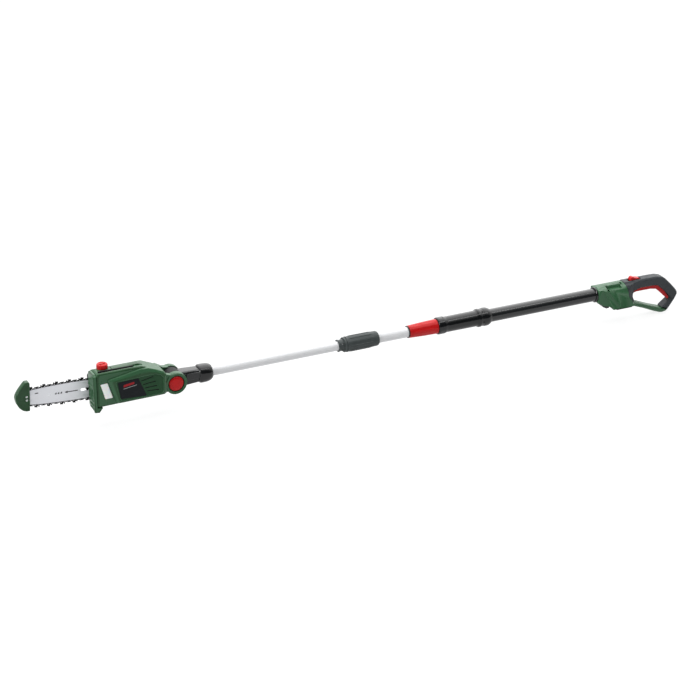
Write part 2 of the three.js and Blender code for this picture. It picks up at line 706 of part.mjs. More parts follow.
// Sprocket cover, the stud and the locking knob on the far side.
const farCover = rounded([[-800, -33], [-706, -33], [-700, -20], [-700, 42], [-712, 57], [-786, 57], [-800, 48]], 8, 2);
let sprocketCover = slabY(farCover, 14, 40, 3).intersect(box(-900, -600, HEAD_FAR_Y + GAP, 60, -60, 90));
sprocketCover = cut(
  sprocketCover,
  slabY(inset(farCover, 3), 10, 36.8),
  box(-830, -790, 10, 30, -28.5, 52),
  cylinderY(4.2, 10, 60, STUD_X, STUD_Z, 20),
);
piece("sprocket_cover", sprocketCover, BLACK());
piece("bar_stud", cylinderY(3.5, 14.2, 42, STUD_X, STUD_Z, 20), STEEL());
piece("bar_locator", cylinderY(3.6, HEAD_FAR_Y + 0.2, 26, ...barPoint(54, 0), 20), BLACK());
let knob = turnedY([[40.4, 0], [40.4, 16.8], [42.6, 16.8], [43.4, 15.8], [43.4, 0]], STUD_X, STUD_Z, 24);
knob = join(knob, slabY(rounded([[STUD_X - 14, STUD_Z - 3.4], [STUD_X + 14, STUD_Z - 3.4], [STUD_X + 14, STUD_Z + 3.4], [STUD_X - 14, STUD_Z + 3.4]], 3, 2), 43, 45.7, 0.8));
knob = cut(knob, cylinderY(3.8, 40, 42.4, STUD_X, STUD_Z, 20));
piece("locking_knob", knob, RED());

// Swivel buttons, one each side of the pivot, with the spring between their stems.
const button = (s) => {
  const profile = [
    [s * 38, 0], [s * 38, 16.5], [s * 36.4, 19.8], [s * 30.5, 20.2], [s * 30.5, 8.1], [s * 17, 8.1], [s * 17, 0],
  ];
  return turnedY(profile, PIVOT_X, 0, 24);
};
piece("swivel_button_near", button(-1), RED());
piece("swivel_button_far", button(1), RED());
piece("swivel_spring", coil("y", [PIVOT_X, 0], -16, 12, 5.5, 0.8, 4, 3, 8), STEEL());

// ==== NECK AND TUBES ==============================================================
const neckRing = (x, y, z) => rounded([[-y, -z], [y, -z], [y, z], [-y, z]], 8, 2).map(([v, w]) => new THREE.Vector3(x, v, w));
const neckBody = solid(new ConvexGeometry([...neckRing(-548, 19, 22), ...neckRing(-524, 19, 22), ...neckRing(-470, 17, 18.6)]));
let neck = join(
  cylinderY(HUB_R, -HUB_HALF_WIDTH, HUB_HALF_WIDTH, PIVOT_X, 0, 32),
  neckBody,
  turned([[-484, 0], [-480, 24], [-477, 26.6], [-456, 26.8], [-446, 24.6], [-440, 19.5], [-440, 0]], 32),
  box(-524, -480, -21.2, -15, -5, 14.5),
);
neck = cut(
  neck,
  cylinderX(FRONT_TUBE_R + 0.2, FRONT_TUBE_ENDS[0] - 1, -400, 0, 0, 36),
  cylinderY(12.25, -30, 30, PIVOT_X, 0, 28),
  cylinderX(4, PIVOT_X, FRONT_TUBE_ENDS[0], 0, 0, 16),
  cylinderZ(4.6, -40, -18, -458, 0, 16),
  cylinderZ(2.6, -30, -10, -458, 0, 12),
);
piece("neck", neck, BLACK());
const neckScrew = join(cylinderZ(2.1, -24, -12.8, -458, 0, 12), cylinderZ(4, -24, -21, -458, 0, 16));
piece("neck_screw", neckScrew, STEEL());
let frontTube = pipe(FRONT_TUBE_R, FRONT_TUBE_BORE, ...FRONT_TUBE_ENDS, 36);
frontTube = cut(frontTube, cylinderZ(2.6, -30, -5, -458, 0, 12));
piece("front_tube", frontTube, ALUMINIUM());
piece("front_tube_plug", turned([[256, 6], [256, 14.1], [270, 14.1], [270, 6]], 24), BLACK());
piece("front_lead", cylinderX(2.6, -540, 262, 0, 0, 8), RUBBER());

// Front clamp on the middle tube: lip, ring, collet and ribbed twist sleeve.
piece("clamp_lip", cut(
  turned([[-46, 14.2], [-46, 16.4], [-44.5, 17.4], [-27, 17.4], [-27, 20.4], [-23.4, 20.4], [-23.4, 14.2]], 28),
  cylinderZ(2.4, 10, 30, -34, 0, 10),
), GREY());
piece("clamp_collet", cut(
  turned([[-23, 14.2], [-23, 18.4], [-15.2, 18.4], [-15.2, 14.2]], 24),
  box(-30, -10, -0.8, 0.8, 0, 30),
), WHITE());
function ribbed(radiusAt, count, depth, x0, x1) {
  const made = [];
  for (let k = 0; k < count * 2; k++) {
    const a = (Math.PI * k) / count;
    const r = k % 2 ? radiusAt : radiusAt - depth;
    made.push([r * Math.cos(a - 0.03), r * Math.sin(a - 0.03)]);
    made.push([r * Math.cos(a + 0.03), r * Math.sin(a + 0.03)]);
  }
  return slabX(made, x0, x1);
}
const sleeveCore = turned([[-22.8, 0], [-22.8, 22.6], [-19, 23.2], [86, 22.4], [92, 20.5], [95, 17.5], [95, 0]], 28);
const sleeve = join(sleeveCore, ribbed(23.9, 12, 1.8, -18, 78));
const sleeveBore = join(
  cylinderX(MIDDLE_TUBE_R + 0.5, -10, 120, 0, 0, 32),
  cylinderX(18.9, -40, -10, 0, 0, 32),
);
piece("twist_sleeve", cut(sleeve, sleeveBore), GREY());
piece("middle_tube", pipe(MIDDLE_TUBE_R, MIDDLE_TUBE_BORE, ...MIDDLE_TUBE_ENDS, 36), ALUMINIUM());
piece("middle_tube_plug", turned([[643, 14.4], [643, 18], [655, 18], [655, 14.4]], 24), BLACK());

// Rear clamp: dark lip, collet and the red twist sleeve.
piece("red_sleeve_lip", turned([[187, 16.2], [187, 17.4], [195, 18.6], [195, 16.2]], 26), BLACK());
const redProfile = [
  [195.4, 16.2], [195.4, 18.6], [198, 19.2], [240, 21.3], [284.4, 22.3], [284.4, 20.5], [249.5, 20.5], [249.5, 16.2],
];
piece("red_sleeve", turned(redProfile, 32), RED());
piece("rear_collet", cut(
  turned([[250, 16.1], [250, 18.2], [255.4, 18.2], [255.4, 16.1]], 24),
  box(240, 260, -0.8, 0.8, 0, 30),
), WHITE());

// ==== REAR TUBE AND FRONT GRIP =======================================================
piece("rear_tube", pipe(REAR_TUBE_R, REAR_TUBE_BORE, ...REAR_TUBE_ENDS, 36), BLACK());
const gripProfile = [
  [285, 20.3], [285, 24.8], [288, 26.2], [308, 26.2], [318, 24.2], [412, 24.2], [416, 27.8], [424, 27.8],
  [428, 26.2], [440, 26.2], [444, 28], [456, 28], [465, 23.5], [465, 20.3],
];
let grip = turned(gripProfile, 30);
for (const a of [0.5, 3.6]) {
  const eye = new THREE.CylinderGeometry(2.2, 2.2, 14, 10).translate(434, 0, 0).rotateX(a);
  eye.translate(0, Math.sin(a) * -26, Math.cos(a) * 26);
  grip = cut(grip, solid(eye));
}
piece("front_grip", grip, BLACK());

// ==== REAR HOUSING AND HANDLE =========================================================
// Plan outline of the handle's root, where the housing narrows into the loop.
const planHalf = [[930, 33], [938, 32.6], [948, 29], [964, 19.5], [985, 16.8], [995, 16.8]];
const plan = [...planHalf, ...[...planHalf].reverse().map(([x, y]) => [x, -y])];
const housingOutline = [
  [836, -21], [846, -26], [856, -33], [889, -42], [892, -51.5], [958, -51.5], [966, -51], [972, -47],
  [966, -43.1], [958.4, -40.4], [955.4, -32], [941.6, -15], [937.6, 5], [931.4, 28.5], [876, 28.5], [840, 25], [836, 22],
];
// Leaning lines where the housing steps out to its middle and its full width.
const middleOutline = [[828, 60], [854, 14.6], [873, -18.6], [897, -60], [1000, -60], [1000, 60]];
const wideOutline = [[870, 60], [889.3, 13.3], [905.3, -24.9], [920, -60], [1000, -60], [1000, 60]];
const lowerArmOutline = [
  [940, -47], [958, -50], [980, -62], [1010, -73.5], [1046, -89.5], [1070, -98.5], [1080, -100.2],
  [1093, -98], [1101, -91.2], [1076, -84], [1048, -74.5], [1010, -59.5], [985, -49], [972, -41.2],
  [966, -43.1], [955, -40.8], [940, -38],
];
const gripOutline = [
  [932, 28], [948, 27.8], [999, 27.2], [1030, 27], [1056, 26], [1074, 21], [1085, 13.5],
  [1106, -8], [1124, -28], [1130.5, -38], [1131.4, -46], [1123, -62], [1101.4, -90.8], [1076.4, -83.6],
  [1110, -58], [1100, -45], [1082, -27], [1061, -7.5], [1050, -3.6], [1036, -2.6], [982, -2.2],
  [969, -5.5], [964, -14], [964, -24], [970.5, -38], [966, -42.6], [958.8, -40], [956, -32.2], [942.2, -15.2], [938.2, 5],
];
const coreOutline = [
  [930, 24], [1000, 19.5], [1056, 17.5], [1078, 9.5], [1099, -11], [1118, -32.5], [1124, -41],
  [1117.5, -59], [1095, -90], [1082, -87], [1110, -62], [1116, -52], [1105, -39], [1086, -19.5],
  [1066, 0], [1050, 5], [1000, 6], [950, 8], [930, 8],
];
const CORE_HALF = 10;
const HANDLE_SCREWS = [
  [864, -23, -8, 24.1],
  [928, -24, -8, 32.6],
  [1040, -80, -8, 15.2],
];
const triggerLine = [[966, -18.5], [983, -11.6], [1035, -12.2], [1057, -16.4], [1077, -34], [1101, -58.5]];
const triggerTop = [[1104.6, -54], [1082, -30], [1061, -11.2], [1037, -5.6], [983, -4.8], [974, -2], [962, -2], [962, -12]];
const triggerOutline = [...triggerLine, ...triggerTop];
const triggerPocket = [
  [962, -30], [1035, -30], [1057, -30], [1077, -45], [1098, -63], [1106, -64], [1112.5, -56],
  [1110, -47], [1087, -22], [1065, -2], [1039, 2.6], [1008, 2.6], [984, 2.6], [958, 2.6], [958, -14],
];

const bands = (outline, half, bevel) => slabY(outline, -half, half, bevel);
// Cross-section of the housing: sides that lean in below and a low crown above.
const sectionHalf = [[28, -56], [33, -27], [33, 4], [29.4, 14], [24.4, 20.4], [12, 26], [3, 27.6]];
const section = [...sectionHalf, ...[...sectionHalf].reverse().map(([y, z]) => [-y, z])];
const widths = join(bands(housingOutline, 24.5, 0), bands(middleOutline, 27.5, 3), bands(wideOutline, 33, 6));
let greenBody = join(
  bands(housingOutline, 40, 0).intersect(widths).intersect(slabX(section, 800, 1200)),
  bands(lowerArmOutline, 15.5, 3.5),
);
greenBody = join(greenBody, bands(coreOutline, CORE_HALF, 0));
const housingCavity = [
  [854, -22], [860, -28], [891, -37.5], [896, -43], [942, -43], [942, -30], [930, -4], [926, 11], [854, 11],
];
greenBody = cut(
  greenBody,
  bands(housingCavity, 24.5, 0).intersect(slabZ([[850, -20.5], [870, -20.5], [878, -23], [906, -24.5], [950, -24.5], [950, 24.5], [906, 24.5], [878, 23], [870, 20.5], [850, 20.5]], -200, 200)),
  cylinderX(REAR_TUBE_R + 0.3, 800, REAR_TUBE_ENDS[1] + 3, 0, 0, 36),
  bands(triggerPocket, 8, 0),
  box(969, 1003, -8, 8, 2, 15.8),
  box(955.6, 998.4, -6.4, 6.4, 15, 40),
  box(872, 917, -40, -9, 17.2, 60),
  box(866, 872.5, -40, -7, 13.5, 60),
  box(919, 925.5, -16, -2, 13.5, 60),
  box(896.4, 956, -20.4, 20.4, -60, -40),
  box(892.6, 958.4, -24.4, 24.4, -60, -47),
  cylinderY(1.8, -9.9, 9.9, 967, -7, 16),
);
// Bosses across the hollow for the screws that hold the two shells together.
for (const [x, z, , y1] of HANDLE_SCREWS.slice(0, 2)) {
  const reach = Math.min(26, y1 - 2.1);
  greenBody = join(greenBody, cylinderY(4.6, -reach, reach, x, z, 14));
}
for (const [x, z, y0, y1] of HANDLE_SCREWS) {
  greenBody = cut(greenBody, cylinderY(1.9, y0 - 0.3, y1 + 9, x, z, 10), cylinderY(3.5, y1 - 2.5, y1 + 9, x, z, 14));
}
const nearHalf = box(500, 1500, -100, HEAD_SPLIT_Y, -300, 300);
const farHalf = box(500, 1500, -HEAD_SPLIT_Y, 100, -300, 300);
piece("rear_shell_near", greenBody.intersect(nearHalf), GREEN());
piece("rear_shell_far", greenBody.intersect(farHalf), GREEN());

let softGrip = join(
  bands(gripOutline, 17, 4.5),
  bands(gripOutline, 40, 0).intersect(slabZ(plan, -200, 200)).intersect(slabX(section, 800, 990)),
);
softGrip = cut(
  softGrip,
  bands(inset(coreOutline, -GAP), CORE_HALF + GAP, 0),
  bands(triggerPocket, 8, 0),
  box(955.3, 998.7, -6.7, 6.7, 15, 45),
  box(952, 994.8, -8.6, 8.6, 26.2, 45),
  box(969, 1003, -8, 8, 2, 15.8),
  cylinderY(1.8, -9.9, 9.9, 967, -7, 16),
);
piece("soft_grip", softGrip, GREY());
piece("front_rim", turned([[830, 20.3], [830, 22.6], [832.5, 24.4], [835.6, 24.4], [835.6, 20.3]], 26), BLACK());

// Trigger, its pin and spring, the switch and the lock-off slider.
let trigger = bands(triggerOutline, 7.2, 0);
trigger = cut(trigger, cylinderY(1.8, -10, 10, 967, -7, 16));
piece("trigger", trigger, RED());
piece("trigger_pin", cylinderY(1.5, -9.6, 9.6, 967, -7, 16), STEEL());
piece("trigger_spring", coil("z", [1024, 0], -5, 2.2, 3.2, 0.5, 3, 4, 8), STEEL());
piece("switch_module", join(box(970, 1002, -7.4, 7.4, 6, 15.4), box(984, 990, -2, 2, 3.4, 7)), BLACK());
let slider = join(
  box(961, 992, -6, 6, 19.4, 29.2),
  slabY(rounded([[958, 26.5], [994, 26.5], [991, 30.5], [975, 33.5], [969, 37.5], [963, 36.5], [959, 31]], 2, 2), -8.2, 8.2, 1),
);
slider = cut(slider, box(950, 1000, -6.9, -6.3, 0, 29.6), box(950, 1000, 6.3, 6.9, 0, 29.6));
piece("lock_off_slider", slider, RED());

// Battery foot with its rails and the contact block.
let foot = box(896.8, 955.6, -20, 20, -52.4, -43.4);
foot = join(foot, box(893, 958, -24, 24, -53.6, -47.3));
foot = cut(foot, box(880, 950, -14, 14, -60, -48.5), box(880, 950, -17, 17, -51.6, -48.5));
foot = cut(foot, box(908, 930, -10, 10, -60, -30));
piece("battery_foot", foot, BLACK());
const contacts = join(
  box(908.4, 929.6, -9.6, 9.6, -47.6, -41),
  box(910, 926, -7.4, -6.2, -51.5, -45),
  box(910, 926, -0.6, 0.6, -51.5, -45),
  box(910, 926, 6.2, 7.4, -51.5, -45),
);
piece("contact_block", contacts, BLACK());

piece("coil_lead", coil("x", [0, 0], 762, 846, 12.5, 2.4, 7, 3, 8), RUBBER());
HANDLE_SCREWS.forEach(([x, z, y0, y1], i) => {
  piece("handle_screw_" + (i + 1), screwY(y0, y1, x, z, 1.6, 3.1, true), STEEL());
});

export default group;
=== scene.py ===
"""Looks of the telescoping pole saw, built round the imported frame.

Shapes are worked out in millimetres from the pole axis: X runs from the saw to the handle, Z is up.
Each finished piece is scaled to metres and moved to the row frame when it is made.
"""

import math

import bmesh
import bpy
from mathutils import Matrix, Vector


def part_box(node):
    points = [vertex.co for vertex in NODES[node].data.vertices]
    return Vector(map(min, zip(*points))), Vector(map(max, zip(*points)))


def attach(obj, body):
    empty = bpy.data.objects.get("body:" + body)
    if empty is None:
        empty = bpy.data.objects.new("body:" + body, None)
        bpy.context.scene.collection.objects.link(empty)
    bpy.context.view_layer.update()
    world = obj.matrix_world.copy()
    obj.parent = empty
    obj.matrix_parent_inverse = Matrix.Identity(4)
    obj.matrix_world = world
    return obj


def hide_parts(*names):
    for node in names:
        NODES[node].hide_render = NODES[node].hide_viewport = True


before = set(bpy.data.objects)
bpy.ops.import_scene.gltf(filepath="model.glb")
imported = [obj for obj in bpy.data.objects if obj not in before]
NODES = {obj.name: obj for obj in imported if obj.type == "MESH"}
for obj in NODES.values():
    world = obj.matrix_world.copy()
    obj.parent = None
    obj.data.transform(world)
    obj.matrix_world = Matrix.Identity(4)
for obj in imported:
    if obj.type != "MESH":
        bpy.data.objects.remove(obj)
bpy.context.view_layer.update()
scene = bpy.context.scene

# The rear tube lies on the pole axis and ends 851 mm behind the origin of these millimetres.
TUBE_LOW, TUBE_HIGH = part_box("rear_tube")
AXIS_X = TUBE_HIGH.x - 0.851
AXIS_Z = (TUBE_LOW.z + TUBE_HIGH.z) / 2
TO_ROW = Matrix.Translation((AXIS_X, 0, AXIS_Z)) @ Matrix.Scale(0.001, 4)
FROM_ROW = TO_ROW.inverted()


# ---- camera, light and floor ----
LENS_MM = 113.7
CAMERA_PLACE = (-2.5878, -5.3290, 2.8296)
CAMERA_BACK = (-0.38875, -0.81871, 0.42262)
CAMERA_RIGHT = (0.90334, -0.42894, 0)
SKY_SLANT = (0.3, 0.55, 0.78)
SKY_LOW = (0.02, 0.021, 0.022, 1)
SKY_STOPS = ((0.22, 0.03), (0.36, 0.26), (0.62, 0.4))
SKY_STRENGTH = 3.4
FLOOR_HALF = 30
FLOOR_GAP = 0.0005
FLOOR_COLOUR = (0.14, 0.141, 0.142, 1)
FLOOR_GLOW = 0.84
WHITE_LIGHT = (1.0, 1.0, 1.0, 1)


def make_camera():
    """The photograph's view, from the saw's side and a little above."""
    data = bpy.data.cameras.new("camera")
    data.sensor_width = 36
    data.lens = LENS_MM
    data.clip_start = 0.1
    data.clip_end = 60
    camera = bpy.data.objects.new("camera", data)
    scene.collection.objects.link(camera)
    back = Vector(CAMERA_BACK)
    right = Vector(CAMERA_RIGHT)
    up = back.cross(right)
    rows = [(right[i], up[i], back[i], CAMERA_PLACE[i]) for i in range(3)]
    camera.matrix_world = Matrix((*rows, (0, 0, 0, 1)))
    scene.camera = camera


def node_tree(owner):
    owner.use_nodes = True
    owner.node_tree.nodes.clear()
    return owner.node_tree


def set_inputs(node, values):
    for name, value in values.items():
        node.inputs[name].default_value = value


def make_world():
    """A studio that is dark below and bright towards the top and the far side."""
    world = bpy.data.worlds.new("studio")
    scene.world = world
    tree = node_tree(world)
    add, link = tree.nodes.new, tree.links.new
    out = add("ShaderNodeOutputWorld")
    background = add("ShaderNodeBackground")
    coordinate = add("ShaderNodeTexCoord")
    slant = add("ShaderNodeVectorMath")
    slant.operation = "DOT_PRODUCT"
    slant.inputs[1].default_value = SKY_SLANT
    ramp = add("ShaderNodeValToRGB")
    link(coordinate.outputs["Generated"], slant.inputs[0])
    link(slant.outputs["Value"], ramp.inputs["Fac"])
    link(ramp.outputs["Color"], background.inputs["Color"])
    link(background.outputs[0], out.inputs["Surface"])
    stops = ramp.color_ramp
    stops.elements[0].position = 0.0
    stops.elements[0].color = SKY_LOW
    stops.elements[1].position = 0.92
    stops.elements[1].color = WHITE_LIGHT
    for place, level in SKY_STOPS:
        stop = stops.elements.new(place)
        stop.color = (level, level, level, 1)
    background.inputs["Strength"].default_value = SKY_STRENGTH


def make_light(name, kind, location, target, energy, size):
    """An area light has a width and a height, and a sun has an angle in degrees."""
    data = bpy.data.lights.new(name, kind)
    data.energy = energy
    if kind == "AREA":
        data.shape = "RECTANGLE"
        data.size, data.size_y = size
    else:
        data.angle = math.radians(size)
    light = bpy.data.objects.new(name, data)
    scene.collection.objects.link(light)
    light.location = location
    direction = Vector(target) - Vector(location)
    light.rotation_mode = "QUATERNION"
    light.rotation_quaternion = direction.to_track_quat("-Z", "Y")


def make_floor():
    mesh = bpy.data.meshes.new("floor")
    half = FLOOR_HALF
    corners = [(-half, -half, 0), (half, -half, 0), (half, half, 0), (-half, half, 0)]
    mesh.from_pydata(corners, [], [(0, 1, 2, 3)])
    floor = bpy.data.objects.new("floor", mesh)
    scene.collection.objects.link(floor)
    floor.location.z = -FLOOR_GAP
    mat = bpy.data.materials.new("floor_paint")
    tree = node_tree(mat)
    add, link = tree.nodes.new, tree.links.new
    out = add("ShaderNodeOutputMaterial")
    shader = add("ShaderNodeBsdfPrincipled")
    set_inputs(shader, {"Base Color": FLOOR_COLOUR, "Roughness": 0.9, "Specular IOR Level": 0.0})
    set_inputs(shader, {"Emission Color": WHITE_LIGHT, "Emission Strength": FLOOR_GLOW})
    link(shader.outputs[0], out.inputs["Surface"])
    mesh.materials.append(mat)


def make_stage():
    make_world()
    make_light("side", "SUN", (-4, -0.5, 1.5), (0, 0, 0), 1.7, 20)
    make_light("strip", "AREA", (0, -1.0, 2.6), (0, 0, 0.1), 26, (4.4, 0.22))
    make_floor()


# ---- materials ----
def surface(
    name,
    colour,
    rough,
    metal=0.0,
    grain=1800,
    bump=0.05,
    spread=0.12,
    stretch=(1, 1, 1),
    rough_spread=0.12,
    edge_pale=0.25,
    edge_pale_colour=None,
    specular=0.5,
    dots=0,
    subsurface=0.0,
):
    """A moulded, painted or metal finish.

    It has a broad change of colour, fine grain in its relief, patches of roughness and a paler colour on
    its sharp convex edges.
    """
    mat = bpy.data.materials.new(name)
    tree = node_tree(mat)
    add, link = tree.nodes.new, tree.links.new
    out = add("ShaderNodeOutputMaterial")
    shader = add("ShaderNodeBsdfPrincipled")
    link(shader.outputs[0], out.inputs["Surface"])
    coordinate = add("ShaderNodeTexCoord")
    mapping = add("ShaderNodeMapping")
    mapping.inputs["Scale"].default_value = stretch
    link(coordinate.outputs["Object"], mapping.inputs["Vector"])

    def noise(scale, detail):
        node = add("ShaderNodeTexNoise")
        set_inputs(node, {"Scale": scale, "Detail": detail})
        link(mapping.outputs[0], node.inputs["Vector"])
        return node.outputs["Fac"]

    def ramp(source, low, high, start=0.3, end=0.7):
        node = add("ShaderNodeMapRange")
        set_inputs(node, {"From Min": start, "From Max": end, "To Min": low, "To Max": high})
        link(source, node.inputs["Value"])
        return node.outputs[0]

    def mix(factor, a, b):
        node = add("ShaderNodeMix")
        node.data_type = "RGBA"
        link(factor, node.inputs["Factor"])
        for socket, value in ((node.inputs[6], a), (node.inputs[7], b)):
            if isinstance(value, tuple):
                socket.default_value = value
            else:
                link(value, socket)
        return node.outputs[2]

    pale = tuple(min(1, c * (1 + spread)) for c in colour) + (1,)
    deep = tuple(c * (1 - spread) for c in colour) + (1,)
    shade = mix(ramp(noise(22, 3), 0, 1), deep, pale)
    height = noise(grain, 4)
    # Sharp convex edges are mixed towards a paler colour.
    if edge_pale:
        geometry = add("ShaderNodeNewGeometry")
        edge = ramp(geometry.outputs["Pointiness"], 0, edge_pale, 0.52, 0.6)
        edge_pale_tone = edge_pale_colour or tuple(min(1, c * 1.6 + 0.04) for c in colour)
        shade = mix(edge, shade, edge_pale_tone + (1,))
    link(shade, shader.inputs["Base Color"])
    patches = ramp(noise(90, 5), rough * (1 - rough_spread), rough * (1 + rough_spread))
    link(patches, shader.inputs["Roughness"])
    if dots:
        cells = add("ShaderNodeTexVoronoi")
        cells.inputs["Scale"].default_value = dots
        link(mapping.outputs[0], cells.inputs["Vector"])
        height = ramp(cells.outputs["Distance"], 1, 0, 0.1, 0.5)
    relief = add("ShaderNodeBump")
    set_inputs(relief, {"Strength": min(1, bump * 4), "Distance": 0.0003 if dots else 0.00012})
    link(height, relief.inputs["Height"])
    link(relief.outputs[0], shader.inputs["Normal"])
    set_inputs(shader, {"Metallic": metal, "Specular IOR Level": specular})
    set_inputs(shader, {"Subsurface Weight": subsurface, "Subsurface Scale": 0.003})
    return mat


GREEN = surface(
    "green_housing", (0.0145, 0.056, 0.0195), 0.3, grain=2400, edge_pale=0.3, edge_pale_colour=(0.07, 0.19, 0.1),
    specular=0.24,
)
# A darker, matt green for the motor cover's sunken floor; its darker colour is painted shade of the
# recess.
DISH_SHADE_GREEN = surface(
    "green_matt_dish_shade", (0.0105, 0.04, 0.0145), 0.5, grain=3000, bump=0.08, edge_pale=0.2,
    edge_pale_colour=(0.05, 0.13, 0.07), specular=0.1,
)
BLACK = surface(
    "black_moulding", (0.004, 0.0046, 0.005), 0.15, grain=2600, bump=0.02, edge_pale=0.15,
    edge_pale_colour=(0.03, 0.032, 0.035), specular=0.4,
)
GREY = surface(
    "grey_moulding", (0.042, 0.05, 0.05), 0.45, grain=3000, bump=0.07, edge_pale=0.3,
    edge_pale_colour=(0.09, 0.1, 0.1), specular=0.2,
)
GRIP = surface(
    "grey_soft_grip", (0.028, 0.033, 0.037), 0.5, grain=3000, bump=0.04, edge_pale=0.15, dots=900,
    specular=0.22,
)
RED = surface(
    "red_moulding", (0.42, 0.007, 0.008), 0.3, grain=2200, bump=0.03, edge_pale=0.2,
    edge_pale_colour=(0.7, 0.08, 0.07), spread=0.07, specular=0.16,
)
BAR = surface(
    "bar_plate", (0.74, 0.75, 0.79), 0.5, metal=0.15, grain=1500, bump=0.04, spread=0.04,
    stretch=(0.06, 1, 1), edge_pale=0.3, edge_pale_colour=(0.85, 0.85, 0.87),
)
CHAIN = surface(
    "chain_blued", (0.005, 0.005, 0.006), 0.5, grain=2600, bump=0.06, edge_pale=0.4,
    edge_pale_colour=(0.03, 0.03, 0.034), specular=0.12,
)
CUTTER = surface(
    "cutter_steel", (0.006, 0.006, 0.007), 0.45, grain=2600, edge_pale=0.4, edge_pale_colour=(0.05, 0.05, 0.055),
    specular=0.15,
)
STEEL = surface(
    "zinc_steel", (0.58, 0.58, 0.6), 0.3, metal=1.0, spread=0.08, edge_pale=0.3, edge_pale_colour=(0.8, 0.8, 0.82),
)
TUBE = surface(
    "anodised_tube", (0.62, 0.625, 0.635), 0.5, metal=0.1, grain=2200, bump=0.035, spread=0.03,
    stretch=(0.03, 1, 1), edge_pale=0, rough_spread=0.15, specular=0.0,
)
DARK_TUBE = surface(
    "black_tube_paint", (0.005, 0.006, 0.0065), 0.13, grain=2400, bump=0.006, stretch=(0.1, 1, 1),
    edge_pale=0.15, edge_pale_colour=(0.05, 0.05, 0.055),
)
WHITE = surface("natural_tank", (0.78, 0.81, 0.8), 0.32, bump=0.03, spread=0.04, edge_pale=0, subsurface=0.25)
RUBBER = surface(
    "black_rubber", (0.01, 0.01, 0.011), 0.62, grain=2400, bump=0.08, edge_pale=0.2,
    edge_pale_colour=(0.04, 0.04, 0.04), specular=0.2,
)
LABEL = surface("label_film", (0.007, 0.009, 0.011), 0.5, grain=3000, bump=0.02, edge_pale=0, specular=0.12)
INK = surface("dark_ink", (0.015, 0.015, 0.018), 0.5, grain=2600, edge_pale=0, specular=0.2)
PALE_INK = surface("pale_ink", (0.3, 0.3, 0.3), 0.5, grain=2600, edge_pale=0, specular=0.2)
RED_INK = surface("red_ink", (0.3, 0.008, 0.012), 0.5, grain=2600, edge_pale=0, specular=0.2)
BRASS = surface("copper_winding", (0.55, 0.25, 0.1), 0.35, metal=1.0, grain=1500, bump=0.1, edge_pale=0.3)


# ---- outlines ----
def area(points):
    return sum(a[0] * b[1] - b[0] * a[1] for a, b in zip(points, points[1:] + points[:1]))


def ccw(points):
    return list(points) if area(list(points)) > 0 else list(points)[::-1]


def unit(a, b):
    d = math.hypot(b[0] - a[0], b[1] - a[1]) or 1e-9
    return ((b[0] - a[0]) / d, (b[1] - a[1]) / d)


def inset(points, d):
    """Moves every edge of a counter-clockwise outline inwards by d."""
    made = []
    count = len(points)
    for i, p in enumerate(points):
        u = unit(points[i - 1], p)
        v = unit(p, points[(i + 1) % count])
        n, m = (-u[1], u[0]), (-v[1], v[0])
        k = d / max(0.25, 1 + n[0] * m[0] + n[1] * m[1])
        made.append((p[0] + (n[0] + m[0]) * k, p[1] + (n[1] + m[1]) * k))
    return made


def curved(start, corner, end, steps):
    """The points of a curve that leaves and meets the two sides of a corner."""
    made = []
    for k in range(steps + 1):
        t = k / steps
        w = ((1 - t) ** 2, 2 * t * (1 - t), t * t)
        made.append(tuple(w[0] * start[j] + w[1] * corner[j] + w[2] * end[j] for j in (0, 1)))
    return made


def rounded(points, radius, steps=6, inwards=0.0):
    """Moves an outline inwards and rounds its corners.

    A point may carry its own radius as a third number.
    """
    loop = [tuple(p[:2]) for p in points]
    radii = [p[2] if len(p) > 2 else radius for p in points]
    if area(loop) < 0:
        loop, radii = loop[::-1], radii[::-1]
    if inwards:
        loop = inset(loop, inwards)
    made = []
    count = len(loop)
    for i, p in enumerate(loop):
        a, b = loop[i - 1], loop[(i + 1) % count]
        la, lb = math.dist(a, p), math.dist(b, p)
        u, v = unit(p, a), unit(p, b)
        dot = max(-0.9999, min(0.9999, u[0] * v[0] + u[1] * v[1]))
        convex = u[1] * v[0] - u[0] * v[1] > 0
        wanted = max(0.1, radii[i] - inwards if convex else radii[i] + inwards)
        reach = min(wanted / math.tan(math.acos(dot) / 2), la * 0.48, lb * 0.48)
        s = (p[0] + u[0] * reach, p[1] + u[1] * reach)
        e = (p[0] + v[0] * reach, p[1] + v[1] * reach)
        made += curved(s, p, e, steps)
    return made


def slot_outline(x0, z0, x1, z1, r, steps=8):
    """A round-ended slot between two centres."""
    u = unit((x0, z0), (x1, z1))
    made = []
    for cx, cz, turn in ((x0, z0, math.pi / 2), (x1, z1, -math.pi / 2)):
        for k in range(steps + 1):
            a = turn + math.pi * k / steps
            c, s = math.cos(a), math.sin(a)
            made.append((cx + r * (c * u[0] - s * u[1]), cz + r * (c * u[1] + s * u[0])))
    return made


# ---- solids ----
def loft(rings):
    """A closed body through rings of equally many points."""
    bm = bmesh.new()
    made = [[bm.verts.new(p) for p in ring] for ring in rings]
    for a, b in zip(made, made[1:]):
        for i in range(len(a)):
            j = (i + 1) % len(a)
            bm.faces.new((a[i], a[j], b[j], b[i]))
    bm.faces.new(made[0][::-1])
    bm.faces.new(made[-1])
    return outward(bm)


def outward(bm):
    bmesh.ops.recalc_face_normals(bm, faces=bm.faces)
    if bm.calc_volume(signed=True) < 0:
        bmesh.ops.reverse_faces(bm, faces=bm.faces)
    return bm


def edge_layers(face, size, inwards, steps):
    """The place and inset of each layer of a rounded edge, out to the face."""
    if not size:
        return [(face, 0)]
    made = []
    for k in range(steps + 1):
        a = math.pi / 2 * k / steps
        made.append((face + inwards * size * (1 - math.sin(a)), size * (1 - math.cos(a))))
    return made


